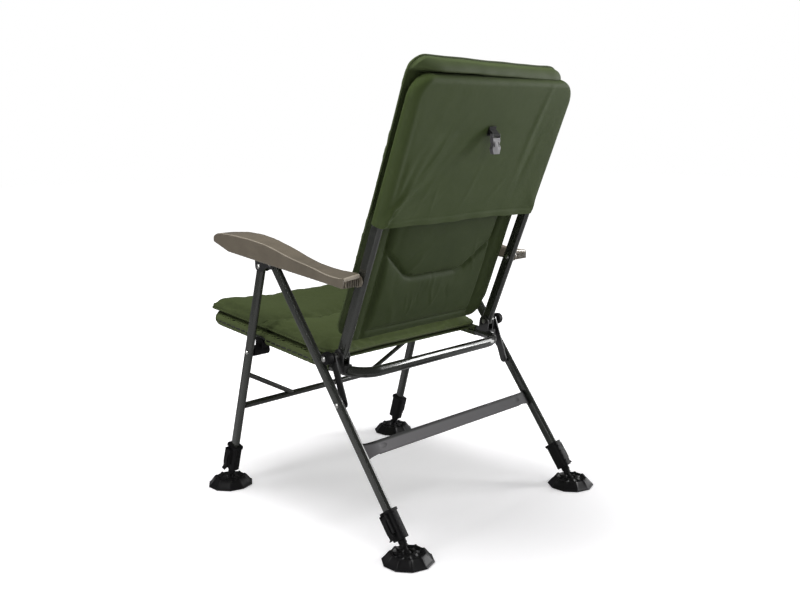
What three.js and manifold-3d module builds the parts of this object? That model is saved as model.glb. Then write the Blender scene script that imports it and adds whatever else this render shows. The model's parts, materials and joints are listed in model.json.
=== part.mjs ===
import * as THREE from 'three';
import { mergeVertices } from 'three/addons/utils/BufferGeometryUtils.js';
import Module from 'manifold-3d';

const wasm = await Module();
wasm.setup();

// A carp fishing chair: two leg frames in an inverted V under moulded armrests, a tilted seat frame,
// and a leaning backrest. Millimetres, +Z up. The sitter faces -Y and the sitter's left is +X.

// Driving dimensions: the pivots of the folding linkage, seen from the side.
const reclinePivot = { y: 63, z: 398 };
const frontPivot = { y: -164, z: 583 };
const rearPivot = { y: -118, z: 592 };
const seatPivot = { y: -229, z: 366 };
const linkPivotZ = 298;
const armrestPivotReach = 190;
const backLean = THREE.MathUtils.degToRad(22.3);
const seatTilt = THREE.MathUtils.degToRad(6.2);

// Driving dimensions: where each layer of the frame lies across the chair.
const railX = 252;
const seatTubeX = railX - 0.5;
const legSpread = 43;
const legX = railX + legSpread;
const fitGap = 0.3;
const cutOverrun = 5;

// Tube sections: a flat oval for legs and back rails, round for the seat frame and braces.
const legLong = 25;
const legShort = 15;
const legWall = 1.2;
const railLong = 30;
const railShort = 15;
const seatTubeRadius = 12.5;
const barRadius = 8;
const braceRadius = 6.2;
const boltRadius = 4;
const headRadius = 6;
const headHeight = 3;
const ballHeight = 17;
const arcSteps = 4;
const circleSteps = 6;
const tubeSides = 12;
const ballSteps = 7;
const drillSides = 8;

// The side-view angles that follow from the pivots.
const frontTilt = Math.atan2(frontPivot.y - seatPivot.y, frontPivot.z - seatPivot.z);
const seatPivotReach = Math.hypot(frontPivot.y - seatPivot.y, frontPivot.z - seatPivot.z);
const rearTiltRatio = 0.7364;
const rearTilt = Math.atan(rearTiltRatio);
const linkPivotReach = (rearPivot.z - linkPivotZ) / Math.cos(rearTilt);
const linkPivotY = rearPivot.y + (rearPivot.z - linkPivotZ) * rearTiltRatio;
const frontBallReach = (frontPivot.z - ballHeight) / Math.cos(frontTilt);
const rearBallReach = (rearPivot.z - ballHeight) / Math.cos(rearTilt);
const armrestPivot = {
  y: reclinePivot.y + armrestPivotReach * Math.sin(backLean),
  z: reclinePivot.z + armrestPivotReach * Math.cos(backLean),
};

const paints = {
  frame: { color: 0x3a3d38, roughness: 0.38, metalness: 0.55 },
  black: { color: 0x1c1b1e, roughness: 0.5, metalness: 0 },
  steel: { color: 0xc8c8c6, roughness: 0.25, metalness: 1 },
  armrest: { color: 0x6e6655, roughness: 0.55, metalness: 0 },
  fabric: { color: 0x47533a, roughness: 0.9, metalness: 0 },
  cushion: { color: 0x4f5a3f, roughness: 0.9, metalness: 0 },
  webbing: { color: 0x1c1d1c, roughness: 0.85, metalness: 0 },
};

// Groups: the chair, and one tilted group for each frame of the folding linkage.
const chair = new THREE.Group();

function tilted(place, angle) {
  const group = new THREE.Group();
  group.position.set(0, place.y, place.z);
  group.rotation.x = angle;
  chair.add(group);
  return group;
}

const frontFrame = tilted(frontPivot, -frontTilt);
const rearFrame = tilted(rearPivot, rearTilt);
const seatFrame = tilted(reclinePivot, -seatTilt);
const backFrame = tilted(reclinePivot, -backLean);
const armFrame = tilted(frontPivot, 0);

function toSolid(geometry) {
  const bare = geometry.clone();
  bare.deleteAttribute('normal');
  bare.deleteAttribute('uv');
  const merged = mergeVertices(bare);
  return new wasm.Manifold(new wasm.Mesh({
    numProp: 3,
    vertProperties: merged.attributes.position.array,
    triVerts: new Uint32Array(merged.index.array),
  }));
}

function toGeometry(solid) {
  const mesh = solid.getMesh();
  const geometry = new THREE.BufferGeometry();
  geometry.setAttribute('position', new THREE.BufferAttribute(mesh.vertProperties, 3));
  geometry.setIndex(new THREE.BufferAttribute(mesh.triVerts, 1));
  geometry.computeVertexNormals();
  return geometry;
}

function join(...geometries) {
  return toGeometry(geometries.map(toSolid).reduce((sum, solid) => sum.add(solid)));
}

function cut(body, ...tools) {
  return toGeometry(tools.map(toSolid).reduce((rest, tool) => rest.subtract(tool), toSolid(body)));
}

function common(body, other) {
  return toGeometry(toSolid(body).intersect(toSolid(other)));
}

function add(group, name, geometry, paint) {
  const mesh = new THREE.Mesh(geometry, new THREE.MeshStandardMaterial(paints[paint]));
  mesh.name = name;
  group.add(mesh);
}

function mirrored(geometry) {
  return toGeometry(toSolid(geometry).mirror([1, 0, 0]));
}

// A piece that the chair has on both sides is built for the left and mirrored for the right.
function addPair(group, name, geometry, paint) {
  add(group, `${name}_left`, geometry, paint);
  add(group, `${name}_right`, mirrored(geometry), paint);
}

function circle(radius, x = 0, y = 0) {
  return new THREE.Shape().absarc(x, y, radius, 0, 2 * Math.PI, false);
}

function oval(long, short, grow = 0) {
  const radius = short / 2 + grow;
  const reach = (long - short) / 2;
  const shape = new THREE.Shape();
  shape.absarc(0, reach, radius, 0, Math.PI, false);
  shape.absarc(0, -reach, radius, Math.PI, 2 * Math.PI, false);
  return shape;
}

// The outline of a strap with a round end about each of two points.
function strap(a, b, radius) {
  const turn = Math.atan2(b.y - a.y, b.x - a.x);
  const shape = new THREE.Shape();
  shape.absarc(a.x, a.y, radius, turn + Math.PI / 2, turn + 1.5 * Math.PI, false);
  shape.absarc(b.x, b.y, radius, turn - Math.PI / 2, turn + Math.PI / 2, false);
  return shape;
}

function roundedRectangle(width, height, radius) {
  const w = width / 2 - radius;
  const h = height / 2 - radius;
  const shape = new THREE.Shape();
  shape.absarc(w, h, radius, 0, Math.PI / 2, false);
  shape.absarc(-w, h, radius, Math.PI / 2, Math.PI, false);
  shape.absarc(-w, -h, radius, Math.PI, 1.5 * Math.PI, false);
  shape.absarc(w, -h, radius, 1.5 * Math.PI, 2 * Math.PI, false);
  return shape;
}

// An outline in X and Y drawn up from one height to another.
function upright(shape, low, high, curveSegments = arcSteps) {
  const depth = high - low;
  const geometry = new THREE.ExtrudeGeometry(shape, { depth, bevelEnabled: false, curveSegments });
  return geometry.translate(0, 0, low);
}

// An outline in Y and Z drawn across the chair from one X to another.
const acrossBasis = new THREE.Matrix4().makeBasis(
  new THREE.Vector3(0, 1, 0), new THREE.Vector3(0, 0, 1), new THREE.Vector3(1, 0, 0));

function across(shape, low, high, curveSegments = arcSteps) {
  const depth = high - low;
  const geometry = new THREE.ExtrudeGeometry(shape, { depth, bevelEnabled: false, curveSegments });
  return geometry.applyMatrix4(acrossBasis).translate(low, 0, 0);
}

function pin(radius, low, high, y = 0, z = 0, sides = tubeSides) {
  const rod = new THREE.CylinderGeometry(radius, radius, high - low, sides);
  return rod.rotateZ(Math.PI / 2).translate((low + high) / 2, y, z);
}

// A bolt's clearance hole along X, as a solid to cut away.
function drill(low, high, y, z) {
  return pin((boltRadius + fitGap) / Math.cos(Math.PI / drillSides), low, high, y, z, drillSides);
}

function box(x, y, z) {
  const size = [x[1] - x[0], y[1] - y[0], z[1] - z[0]];
  return new THREE.BoxGeometry(...size).translate((x[0] + x[1]) / 2, (y[0] + y[1]) / 2, (z[0] + z[1]) / 2);
}

// A turned piece along X: radii and places in pairs, from the inboard end to the outboard end.
function turnedAcross(stations, y, z, sides = tubeSides) {
  const profile = stations.map(([radius, x]) => new THREE.Vector2(radius, x));
  const geometry = new THREE.LatheGeometry([new THREE.Vector2(0, stations[0][1]), ...profile,
    new THREE.Vector2(0, stations.at(-1)[1])], sides);
  return geometry.rotateZ(-Math.PI / 2).translate(0, y, z);
}

// A path through stations, so that a bent tube has a ring at each one and none between.
class StationPath extends THREE.Curve {
  constructor(stations) {
    super();
    this.stations = stations;
  }

  getPoint(t) {
    const last = this.stations.length - 1;
    const place = Math.min(Math.max(t, 0), 1) * last;
    const index = Math.min(Math.floor(place), last - 1);
    return this.stations[index].clone().lerp(this.stations[index + 1], place - index);
  }

  getUtoTmapping(u) {
    return u;
  }
}

// The stations of a path with straight runs and a round bend at each inner corner.
function bentPath(corners, bendRadius, bendSteps) {
  const stations = [corners[0]];
  for (let i = 1; i < corners.length - 1; i++) {
    const back = corners[i - 1].clone().sub(corners[i]).normalize();
    const on = corners[i + 1].clone().sub(corners[i]).normalize();
    const half = back.angleTo(on) / 2;
    const middle = back.clone().add(on).normalize();
    const centre = corners[i].clone().addScaledVector(middle, bendRadius / Math.sin(half));
    const start = corners[i].clone().addScaledVector(back, bendRadius / Math.tan(half)).sub(centre);
    const axis = start.clone().cross(middle).normalize();
    const sweep = Math.PI - 2 * half;
    for (let step = 0; step <= bendSteps; step++) {
      stations.push(start.clone().applyAxisAngle(axis, -sweep * step / bendSteps).add(centre));
    }
  }
  stations.push(corners.at(-1));
  return new StationPath(stations);
}

function tubeAlong(path, shape, curveSegments) {
  const steps = path.stations.length - 1;
  return new THREE.ExtrudeGeometry(shape, { steps, extrudePath: path, curveSegments });
}

// Leg tubes: flat-oval steel tubes, drilled for their pins and open below for the inner legs.
const legTopOverrun = 10;
const clampLength = 66;
const clampFootGap = 32;
const legTubeInset = 24;

function legTube(ballReach, drillings) {
  const bottom = -(ballReach - clampFootGap - legTubeInset);
  const shape = oval(legLong, legShort);
  shape.holes.push(new THREE.Path(oval(legLong, legShort, -legWall).getPoints(3)));
  const tube = upright(shape, bottom, legTopOverrun, 3);
  const drills = drillings.map((z) => drill(-legShort, legShort, 0, z));
  return cut(tube, ...drills).translate(legX, 0, 0);
}

addPair(frontFrame, 'front_leg', legTube(frontBallReach, [0, -seatPivotReach]), 'frame');
addPair(rearFrame, 'rear_leg', legTube(rearBallReach, [0, -linkPivotReach]), 'frame');

// Inner legs: black telescopic legs with a stepped collar, a neck and a ball that holds the foot.
const innerClearance = 0.4;
const innerLegLength = 205;
const innerPlugStart = 22;
const collarRadius = 9;
const neckRadius = 4.2;
const ballRadius = 8;

function innerLeg(ballReach) {
  const slider = upright(oval(legLong, legShort, -legWall - innerClearance), innerPlugStart,
    innerLegLength, 3);
  const ball = new THREE.SphereGeometry(ballRadius, tubeSides, ballSteps).rotateX(Math.PI / 2);
  const neck = new THREE.CylinderGeometry(neckRadius, neckRadius, innerPlugStart, tubeSides);
  neck.rotateX(Math.PI / 2).translate(0, 0, innerPlugStart / 2);
  const collarHeight = innerPlugStart / 3;
  const collar = new THREE.CylinderGeometry(collarRadius * 0.85, collarRadius, collarHeight, tubeSides);
  collar.rotateX(Math.PI / 2).translate(0, 0, innerPlugStart - collarHeight / 2 + fitGap);
  return join(slider, neck, collar, ball).translate(legX, 0, -ballReach);
}

// Leg clamps: black moulded sleeves round the foot of each leg tube, ribbed on the rear face, with a
// cheeked pocket on the outboard side for the cam lever that grips the inner leg.
const clampLong = 36;
const clampShort = 25;
const clampRimLip = 1.8;
const clampRimHeight = 6;
const clampRibCount = 4;
const clampRibHeight = 3;
const clampRibProud = 1.4;
const leverWidth = 14;
const leverCheek = 3;
const leverPocketDepth = 10;
const leverPivotDrop = 13;
const leverLength = 44;
const leverThickness = 6;
const leverPinRadius = 2.5;
const leverSpur = 6;

function legClamp(ballReach) {
  const low = 0;
  const high = clampLength;
  const body = upright(roundedRectangle(clampShort, clampLong, clampShort / 3), low, high, 2);
  const rim = upright(
    roundedRectangle(clampShort + 2 * clampRimLip, clampLong + 2 * clampRimLip, clampShort / 3),
    high - clampRimHeight, high, 2);
  const cheekLow = high - leverPivotDrop - leverLength * 0.8;
  const cheekTop = high - clampRimHeight;
  const cheeks = box(
    [0, clampShort / 2 + leverPocketDepth],
    [-leverWidth / 2 - leverCheek, leverWidth / 2 + leverCheek], [cheekLow, cheekTop]);
  const pocket = box(
    [clampShort / 2 + fitGap, clampShort / 2 + leverPocketDepth + cutOverrun],
    [-leverWidth / 2, leverWidth / 2], [cheekLow - cutOverrun, cheekTop + cutOverrun]);
  const ribPitch = (high - 2 * clampRimHeight) / clampRibCount;
  const ribs = [];
  for (let i = 0; i < clampRibCount; i++) {
    const z = clampRimHeight + ribPitch * (i + 0.5);
    const reach = clampLong / 2 + clampRibProud;
    ribs.push(box([-clampShort / 4, clampShort / 4], [0, reach],
      [z - clampRibHeight / 2, z + clampRibHeight / 2]));
  }
  const tubeBore = upright(oval(legLong, legShort, fitGap), legTubeInset - fitGap, high + cutOverrun);
  const innerBore = upright(oval(legLong, legShort, -legWall), low - cutOverrun, legTubeInset);
  const pinBore = new THREE.CylinderGeometry(
    leverPinRadius + fitGap, leverPinRadius + fitGap, 2 * clampLong, 2 * arcSteps);
  pinBore.translate(leverPivotX, 0, high - leverPivotDrop);
  const shell = cut(join(body, rim, cheeks, ...ribs), pocket, tubeBore, innerBore, pinBore);
  return shell.translate(legX, 0, -ballReach + clampFootGap);
}

// Cam levers: each rocks on its own pin between the cheeks, on a head that is round about the pin,
// and has a small spur for the finger below.
const leverPivotX = clampShort / 2 + leverPocketDepth / 2;

function clampLever(ballReach) {
  const head = leverPocketDepth / 2 - 2 * fitGap;
  const outer = clampShort / 2 + leverPocketDepth + leverThickness / 2;
  const tip = -leverLength;
  const outline = new THREE.Shape();
  outline.absarc(leverPivotX, 0, head, 0, Math.PI, false);
  outline.quadraticCurveTo(leverPivotX - head * 0.6, tip / 2, outer - leverThickness, tip);
  outline.lineTo(outer + leverSpur / 2, tip - leverSpur);
  outline.lineTo(outer - leverThickness / 3, tip);
  outline.quadraticCurveTo(outer + leverThickness / 2, tip / 3, leverPivotX + head, 0);
  const plate = new THREE.ExtrudeGeometry(outline, {
    depth: leverWidth - 2 * fitGap, bevelEnabled: false, curveSegments: arcSteps,
  });
  plate.rotateX(Math.PI / 2).translate(0, leverWidth / 2 - fitGap, 0);
  const pinLength = leverWidth + 2 * leverCheek;
  const pivot = new THREE.CylinderGeometry(leverPinRadius, leverPinRadius, pinLength, 2 * arcSteps);
  const lever = join(plate, pivot.translate(leverPivotX, 0, 0));
  return lever.translate(legX, 0, -ballReach + clampFootGap + clampLength - leverPivotDrop);
}

// Mud feet: wide black moulded feet with eight swept webs between shallow scoops and a ball socket.
const footRadius = 57;
const footRimHeight = 4;
const footWebHeight = 15;
const socketRadius = 15;
const socketHeight = 20.5;
const footSides = 24;
const footScallopShare = 0.06;
const footRingShares = [1, 0.95, 0.78, 0.5, 0.32, 0.27];
const footHeightShares = [0.6, 1.2, 2, 3.6, 5.2, 5.6];
const footWebShares = [0, 0.1, 0.7, 0.8, 0.35, 0];
const socketClearance = 0.9;
const socketMouthRadius = 10.8;

function mudFoot() {
  const positions = [];
  const rings = footRingShares.length;
  const index = [];
  for (let ring = 0; ring < rings; ring++) {
    for (let side = 0; side < footSides; side++) {
      const angle = 2 * Math.PI * side / footSides;
      const web = Math.cos(angle * 8) * 0.5 + 0.5;
      const lobe = 1 - footScallopShare * web * footRingShares[ring];
      const radius = footRadius * footRingShares[ring] * lobe;
      const rise = footRimHeight * footHeightShares[ring] + footWebHeight * footWebShares[ring] * web * 0.6;
      positions.push(radius * Math.cos(angle), radius * Math.sin(angle), Math.min(rise, socketHeight));
    }
  }
  for (let side = 0; side < footSides; side++) {
    positions.push(positions[3 * side], positions[3 * side + 1], 0);
  }
  positions.push(0, 0, positions[3 * (rings - 1) * footSides + 2], 0, 0, 0);
  const crown = (rings + 1) * footSides;
  const sole = crown + 1;
  for (let side = 0; side < footSides; side++) {
    const next = (side + 1) % footSides;
    for (let ring = 0; ring < rings - 1; ring++) {
      const a = ring * footSides;
      const b = a + footSides;
      index.push(a + side, a + next, b + next, a + side, b + next, b + side);
    }
    const top = (rings - 1) * footSides;
    const base = rings * footSides;
    index.push(top + side, top + next, crown);
    index.push(base + side, base + next, next, base + side, next, side);
    index.push(base + next, base + side, sole);
  }
  const dish = new THREE.BufferGeometry();
  dish.setAttribute('position', new THREE.BufferAttribute(new Float32Array(positions), 3));
  dish.setIndex(index);
  const collar = new THREE.CylinderGeometry(socketRadius * 0.85, socketRadius, socketHeight, footSides / 2);
  collar.rotateX(Math.PI / 2).translate(0, 0, socketHeight / 2 + fitGap);
  const socket = new THREE.SphereGeometry(ballRadius + socketClearance, tubeSides, ballSteps);
  socket.rotateX(Math.PI / 2).translate(0, 0, ballHeight);
  const mouthRise = socketHeight - ballHeight + cutOverrun;
  const mouth = new THREE.CylinderGeometry(
    socketMouthRadius, ballRadius + socketClearance, mouthRise, tubeSides);
  mouth.rotateX(Math.PI / 2).translate(0, 0, ballHeight + mouthRise / 2);
  return cut(join(dish, collar), socket, mouth);
}

const legFrames = [
  ['front', frontFrame, frontBallReach, frontPivot.y - frontBallReach * Math.sin(frontTilt)],
  ['rear', rearFrame, rearBallReach, rearPivot.y + rearBallReach * Math.sin(rearTilt)],
];
for (const [end, frame, ballReach, footY] of legFrames) {
  addPair(frame, `${end}_inner_leg`, innerLeg(ballReach), 'black');
  addPair(frame, `${end}_leg_clamp`, legClamp(ballReach), 'black');
  addPair(frame, `${end}_clamp_lever`, clampLever(ballReach), 'black');
  addPair(chair, `${end}_foot`, mudFoot().translate(legX, footY, 0), 'black');
}

// Front cross bar and braces: round steel tubes welded between the inner faces of the front legs.
const frontBarZ = 222;
const frontBarSetback = 4;
const braceTopZ = 307;
const braceShare = 0.46;
const legInnerX = legX - legShort / 2;
const frontBarReach = (frontPivot.z - frontBarZ) / Math.cos(frontTilt);
const braceTopReach = (frontPivot.z - braceTopZ) / Math.cos(frontTilt);
const barEndX = legInnerX - fitGap;
const frontBar = pin(barRadius, -barEndX, barEndX, frontBarSetback, -frontBarReach);
add(frontFrame, 'front_cross_bar', frontBar, 'frame');

function frontBrace() {
  const top = new THREE.Vector3(legInnerX + cutOverrun, 0, -braceTopReach);
  const foot = new THREE.Vector3(legInnerX * braceShare, frontBarSetback, -frontBarReach);
  const tube = tubeAlong(new StationPath([top, foot]), circle(braceRadius), circleSteps);
  const seat = pin(barRadius + fitGap, 0, legInnerX, frontBarSetback, -frontBarReach);
  const wall = box([legInnerX - fitGap, legX + legLong], [-legLong, legLong], [-frontBallReach, 0]);
  return cut(tube, seat, wall);
}

addPair(frontFrame, 'front_brace', frontBrace(), 'frame');

// Rear cross bar: a pressed steel channel that bends in to the rear legs and flares to meet them.
const rearBarZ = 204;
const rearBarHeight = 30;
const rearBarFlareHeight = 42;
const rearBarSetback = 9;
const rearBarSheet = 2;
const rearBarFlange = 11;
const rearBarBendRun = 40;
const dimpleRun = 22;
const dimpleDepth = 1.4;
const rearBarReach = (rearPivot.z - rearBarZ) / Math.cos(rearTilt);

function rearCrossBar() {
  const straight = barEndX - rearBarBendRun;
  const outline = new THREE.Shape();
  outline.moveTo(-barEndX, 0);
  outline.quadraticCurveTo(-straight - rearBarBendRun / 3, rearBarSetback, -straight, rearBarSetback);
  outline.lineTo(straight, rearBarSetback);
  outline.quadraticCurveTo(straight + rearBarBendRun / 3, rearBarSetback, barEndX, 0);
  outline.lineTo(barEndX, -rearBarSheet * 1.4);
  outline.quadraticCurveTo(straight + rearBarBendRun / 3, rearBarSetback - rearBarSheet,
    straight, rearBarSetback - rearBarSheet);
  outline.lineTo(-straight, rearBarSetback - rearBarSheet);
  outline.quadraticCurveTo(-straight - rearBarBendRun / 3, rearBarSetback - rearBarSheet,
    -barEndX, -rearBarSheet * 1.4);
  outline.closePath();
  const half = rearBarHeight / 2;
  const flare = rearBarFlareHeight / 2;
  const face = new THREE.Shape();
  face.moveTo(-straight, -half);
  face.lineTo(straight, -half);
  face.quadraticCurveTo(barEndX - rearBarBendRun / 4, -half, barEndX, -flare);
  face.lineTo(barEndX, flare);
  face.quadraticCurveTo(barEndX - rearBarBendRun / 4, half, straight, half);
  face.lineTo(-straight, half);
  face.quadraticCurveTo(rearBarBendRun / 4 - barEndX, half, -barEndX, flare);
  face.lineTo(-barEndX, -flare);
  face.quadraticCurveTo(rearBarBendRun / 4 - barEndX, -half, -straight, -half);
  const strip = upright(outline, -flare, flare, 5);
  const depth = 2 * rearBarSetback + rearBarFlange;
  const gauge = new THREE.ExtrudeGeometry(face, { depth: 2 * depth, bevelEnabled: false, curveSegments: 5 });
  gauge.rotateX(Math.PI / 2).translate(0, depth, 0);
  const web = common(strip, gauge);
  const flangeY = [rearBarSetback - rearBarFlange, rearBarSetback - rearBarSheet / 2];
  const lower = box([-straight, straight], flangeY, [-half, -half + rearBarSheet]);
  const upper = box([-straight, straight], flangeY, [half - rearBarSheet, half]);
  const dimples = [-1, 1].map((side) => {
    const dimple = new THREE.SphereGeometry(1, tubeSides, ballSteps);
    dimple.scale(dimpleRun / 2, dimpleDepth, rearBarHeight / 5);
    return dimple.translate(side * (straight - dimpleRun / 2), rearBarSetback, 0);
  });
  return cut(join(web, lower, upper), ...dimples).translate(0, 0, -rearBarReach);
}

add(rearFrame, 'rear_cross_bar', rearCrossBar(), 'frame');

// Seat frame: two bent steel tubes, a front bow and a rear bow, meeting end to end along the sides.
// The group's origin is the recline pivot, and its Y runs along the tilted seat.
const seatDrop = 34;
const seatFrontY = -501;
const seatRearY = 56;
const seatJointY = -90;
const seatFrontBend = 45;
const seatRearBend = 62;
const bendSteps = 6;

function seatBow(endY, bendRadius) {
  const joint = seatJointY + Math.sign(endY - seatJointY) * fitGap / 2;
  const corners = [
    new THREE.Vector3(-seatTubeX, joint, -seatDrop), new THREE.Vector3(-seatTubeX, endY, -seatDrop),
    new THREE.Vector3(seatTubeX, endY, -seatDrop), new THREE.Vector3(seatTubeX, joint, -seatDrop),
  ];
  return bentPath(corners, bendRadius, bendSteps);
}

const seatBows = [seatBow(seatFrontY, seatFrontBend), seatBow(seatRearY, seatRearBend)];
add(seatFrame, 'seat_front_bow', tubeAlong(seatBows[0], circle(seatTubeRadius), circleSteps), 'frame');
add(seatFrame, 'seat_rear_bow', tubeAlong(seatBows[1], circle(seatTubeRadius), circleSteps), 'frame');

// Hinge brackets: black steel clevises that straddle each seat tube and carry the backrest's pivot.
const plateSheet = 3;
const plateWidth = 30;
const plateOuterX = railX + railShort / 2 + fitGap + plateSheet;
const plateInnerX = railX - railShort / 2 - fitGap - plateSheet;
const saddleSheet = 3;
const saddleLength = 46;

function hingeBracket() {
  const top = new THREE.Vector2(0, 0);
  const foot = new THREE.Vector2(0, -seatDrop);
  const blank = across(strap(foot, top, plateWidth / 2), plateInnerX, plateOuterX);
  const saddle = box([plateInnerX, plateOuterX], [-saddleLength / 2, saddleLength / 2],
    [-seatDrop - saddleSheet, -seatDrop + seatTubeRadius + saddleSheet]);
  const mouthX = [plateInnerX + plateSheet, plateOuterX - plateSheet];
  const mouth = box(mouthX, [-plateWidth, plateWidth],
    [-seatDrop + seatTubeRadius + saddleSheet, plateWidth]);
  const bed = tubeAlong(seatBows[1], circle(seatTubeRadius + fitGap), circleSteps);
  const under = box([plateInnerX - cutOverrun, plateOuterX + cutOverrun],
    [-saddleLength, saddleLength], [-2 * seatDrop, -seatDrop - saddleSheet]);
  const hole = drill(plateInnerX - cutOverrun, plateOuterX + cutOverrun, 0, 0);
  return cut(join(blank, saddle), mouth, bed, under, hole);
}

addPair(seatFrame, 'hinge_bracket', hingeBracket(), 'black');

// Recline bolts: bright shouldered bolts through clevis, back rail and link, capped outside the knob.
const linkSheet = 3;
const linkRoom = 6.5;
const linkX = legInnerX - linkRoom - linkSheet;
const knobLow = linkX + linkSheet + 2 * fitGap;
const knobOverhang = 10;
const knobHigh = legX + knobOverhang;
const shoulderRadius = 6.5;
const capHeight = 4.5;
const reclineBolt = turnedAcross([
  [headRadius * 0.8, plateInnerX - fitGap - headHeight], [headRadius, plateInnerX - headHeight * 0.6],
  [headRadius, plateInnerX - fitGap], [boltRadius, plateInnerX - fitGap],
  [boltRadius, plateOuterX + fitGap], [shoulderRadius, plateOuterX + fitGap],
  [shoulderRadius, linkX - fitGap], [boltRadius, linkX - fitGap],
  [boltRadius, knobHigh + fitGap], [shoulderRadius, knobHigh + fitGap],
  [shoulderRadius, knobHigh + capHeight * 0.6], [shoulderRadius * 0.55, knobHigh + capHeight],
], 0, 0);
addPair(seatFrame, 'recline_bolt', reclineBolt, 'steel');

// Recline knobs: black moulded knobs with a neck, a fluted round grip and a recess for the bolt's cap.
const knobRadius = 15;
const knobNeckRadius = 8.5;
const knobNeckLength = 5;
const fluteCount = 8;
const fluteSides = 6;
const fluteRadius = 2.2;
const knobBodyShares = [[0.8, 0], [0.98, 0.22], [1, 0.55], [0.93, 0.85], [0.78, 1]];

function reclineKnob() {
  const start = knobLow + knobNeckLength;
  const grip = knobBodyShares.map(([girth, along]) => [
    knobRadius * girth, start + (knobHigh - start) * along]);
  const body = turnedAcross([[knobNeckRadius, knobLow], [knobNeckRadius, start], ...grip], 0, 0, 16);
  const flutes = [];
  for (let i = 0; i < fluteCount; i++) {
    const angle = 2 * Math.PI * i / fluteCount;
    const reach = knobRadius + fluteRadius * 0.45;
    flutes.push(pin(fluteRadius, start - cutOverrun, knobHigh + cutOverrun,
      reach * Math.cos(angle), reach * Math.sin(angle), fluteSides));
  }
  const bore = drill(knobLow - cutOverrun, knobHigh + cutOverrun, 0, 0);
  return cut(body, ...flutes, bore);
}

addPair(seatFrame, 'recline_knob', reclineKnob(), 'black');

// Links: flat black bars from the recline bolts to the rear legs, with a short riveted boss below.
const linkRadius = 10;
const linkFoot = new THREE.Vector2(linkPivotY - reclinePivot.y, linkPivotZ - reclinePivot.z);
const linkFrame = tilted(reclinePivot, 0);

function link() {
  const bar = across(strap(linkFoot, new THREE.Vector2(0, 0), linkRadius), linkX, linkX + linkSheet);
  const boss = pin(headRadius, linkX - headHeight / 2, legInnerX - fitGap, linkFoot.x, linkFoot.y);
  return cut(join(bar, boss), drill(linkX - cutOverrun, linkX + linkSheet + cutOverrun, 0, 0));
}

addPair(linkFrame, 'link', link(), 'black');

// Link rivets: bright rivets in the rear legs, flush with the inner face where the link's boss meets.
const legOuterX = legX + legShort / 2;

function rivetShank(low, high, headX, y, z) {
  return turnedAcross([
    [boltRadius, low], [boltRadius, high], [headRadius, headX], [headRadius, headX + headHeight * 0.4],
    [headRadius * 0.5, headX + headHeight],
  ], y, z);
}

const linkRivet = rivetShank(legInnerX + fitGap, legOuterX + fitGap, legOuterX + fitGap, 0, -linkPivotReach);
addPair(rearFrame, 'link_rivet', linkRivet, 'steel');

// Seat pivot blocks: black moulded blocks saddled under the seat tubes, and the bolts through the legs.
const blockLip = 8.5;
const blockInnerX = seatTubeX - blockLip;
const blockDepth = 27;
const blockHeight = 24;
const blockBoltReach = 26;
const blockOuterX = legInnerX - fitGap;
const seatPivotLocal = new THREE.Vector2(seatPivot.y - reclinePivot.y, seatPivot.z - reclinePivot.z)
  .rotateAround(new THREE.Vector2(0, 0), seatTilt);

function seatPivotBlock() {
  const { x: y, y: z } = seatPivotLocal;
  const bar = across(strap(new THREE.Vector2(y - blockDepth / 8, z), new THREE.Vector2(y + blockDepth / 8, z),
    blockHeight / 2), blockInnerX, blockOuterX);
  const riser = box([blockInnerX, seatTubeX + seatTubeRadius + saddleSheet],
    [y - blockDepth / 2, y + blockDepth / 2], [z, -seatDrop]);
  const bed = new THREE.CylinderGeometry(seatTubeRadius + fitGap, seatTubeRadius + fitGap,
    2 * blockDepth, 2 * tubeSides);
  bed.translate(seatTubeX, y, -seatDrop);
  const hole = drill(blockOuterX - blockBoltReach - fitGap, blockOuterX + cutOverrun, y, z);
  return cut(join(bar, riser), bed, hole);
}

addPair(seatFrame, 'seat_pivot_block', seatPivotBlock(), 'black');
const seatPivotBolt = rivetShank(blockOuterX - blockBoltReach, legOuterX + fitGap, legOuterX + fitGap,
  0, -seatPivotReach);
addPair(frontFrame, 'seat_pivot_bolt', seatPivotBolt, 'steel');

// Armrests: moulded shells with a crowned top, a deep outboard skirt that thins to the rear, cross
// ribs underneath and a lug that pivots on the back rail. The group's origin is the front pivot.
const armOverhang = 10;
const armOuterX = legOuterX + armOverhang;
const armWall = 3.5;
const armCrown = 7;
const armFrontReach = 176;
const armNoseDrop = 14;
const armFrontTop = 62;
const armPeak = 75;
const armSkirtFront = 25;
const armRearTop = 20;
const armRearSkirt = -11;
const armRibCount = 6;
const armRibSheet = 2.5;
const armRibPitch = 9;
const lugRadius = 13;
const lugInnerX = railX + railShort / 2 + 3 * fitGap;
const lugLength = 5.6;
const armInnerX = lugInnerX + lugLength;
const armRear = new THREE.Vector2(armrestPivot.y - frontPivot.y, armrestPivot.z - frontPivot.z);
const armRun = armRear.x + armFrontReach;

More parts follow.
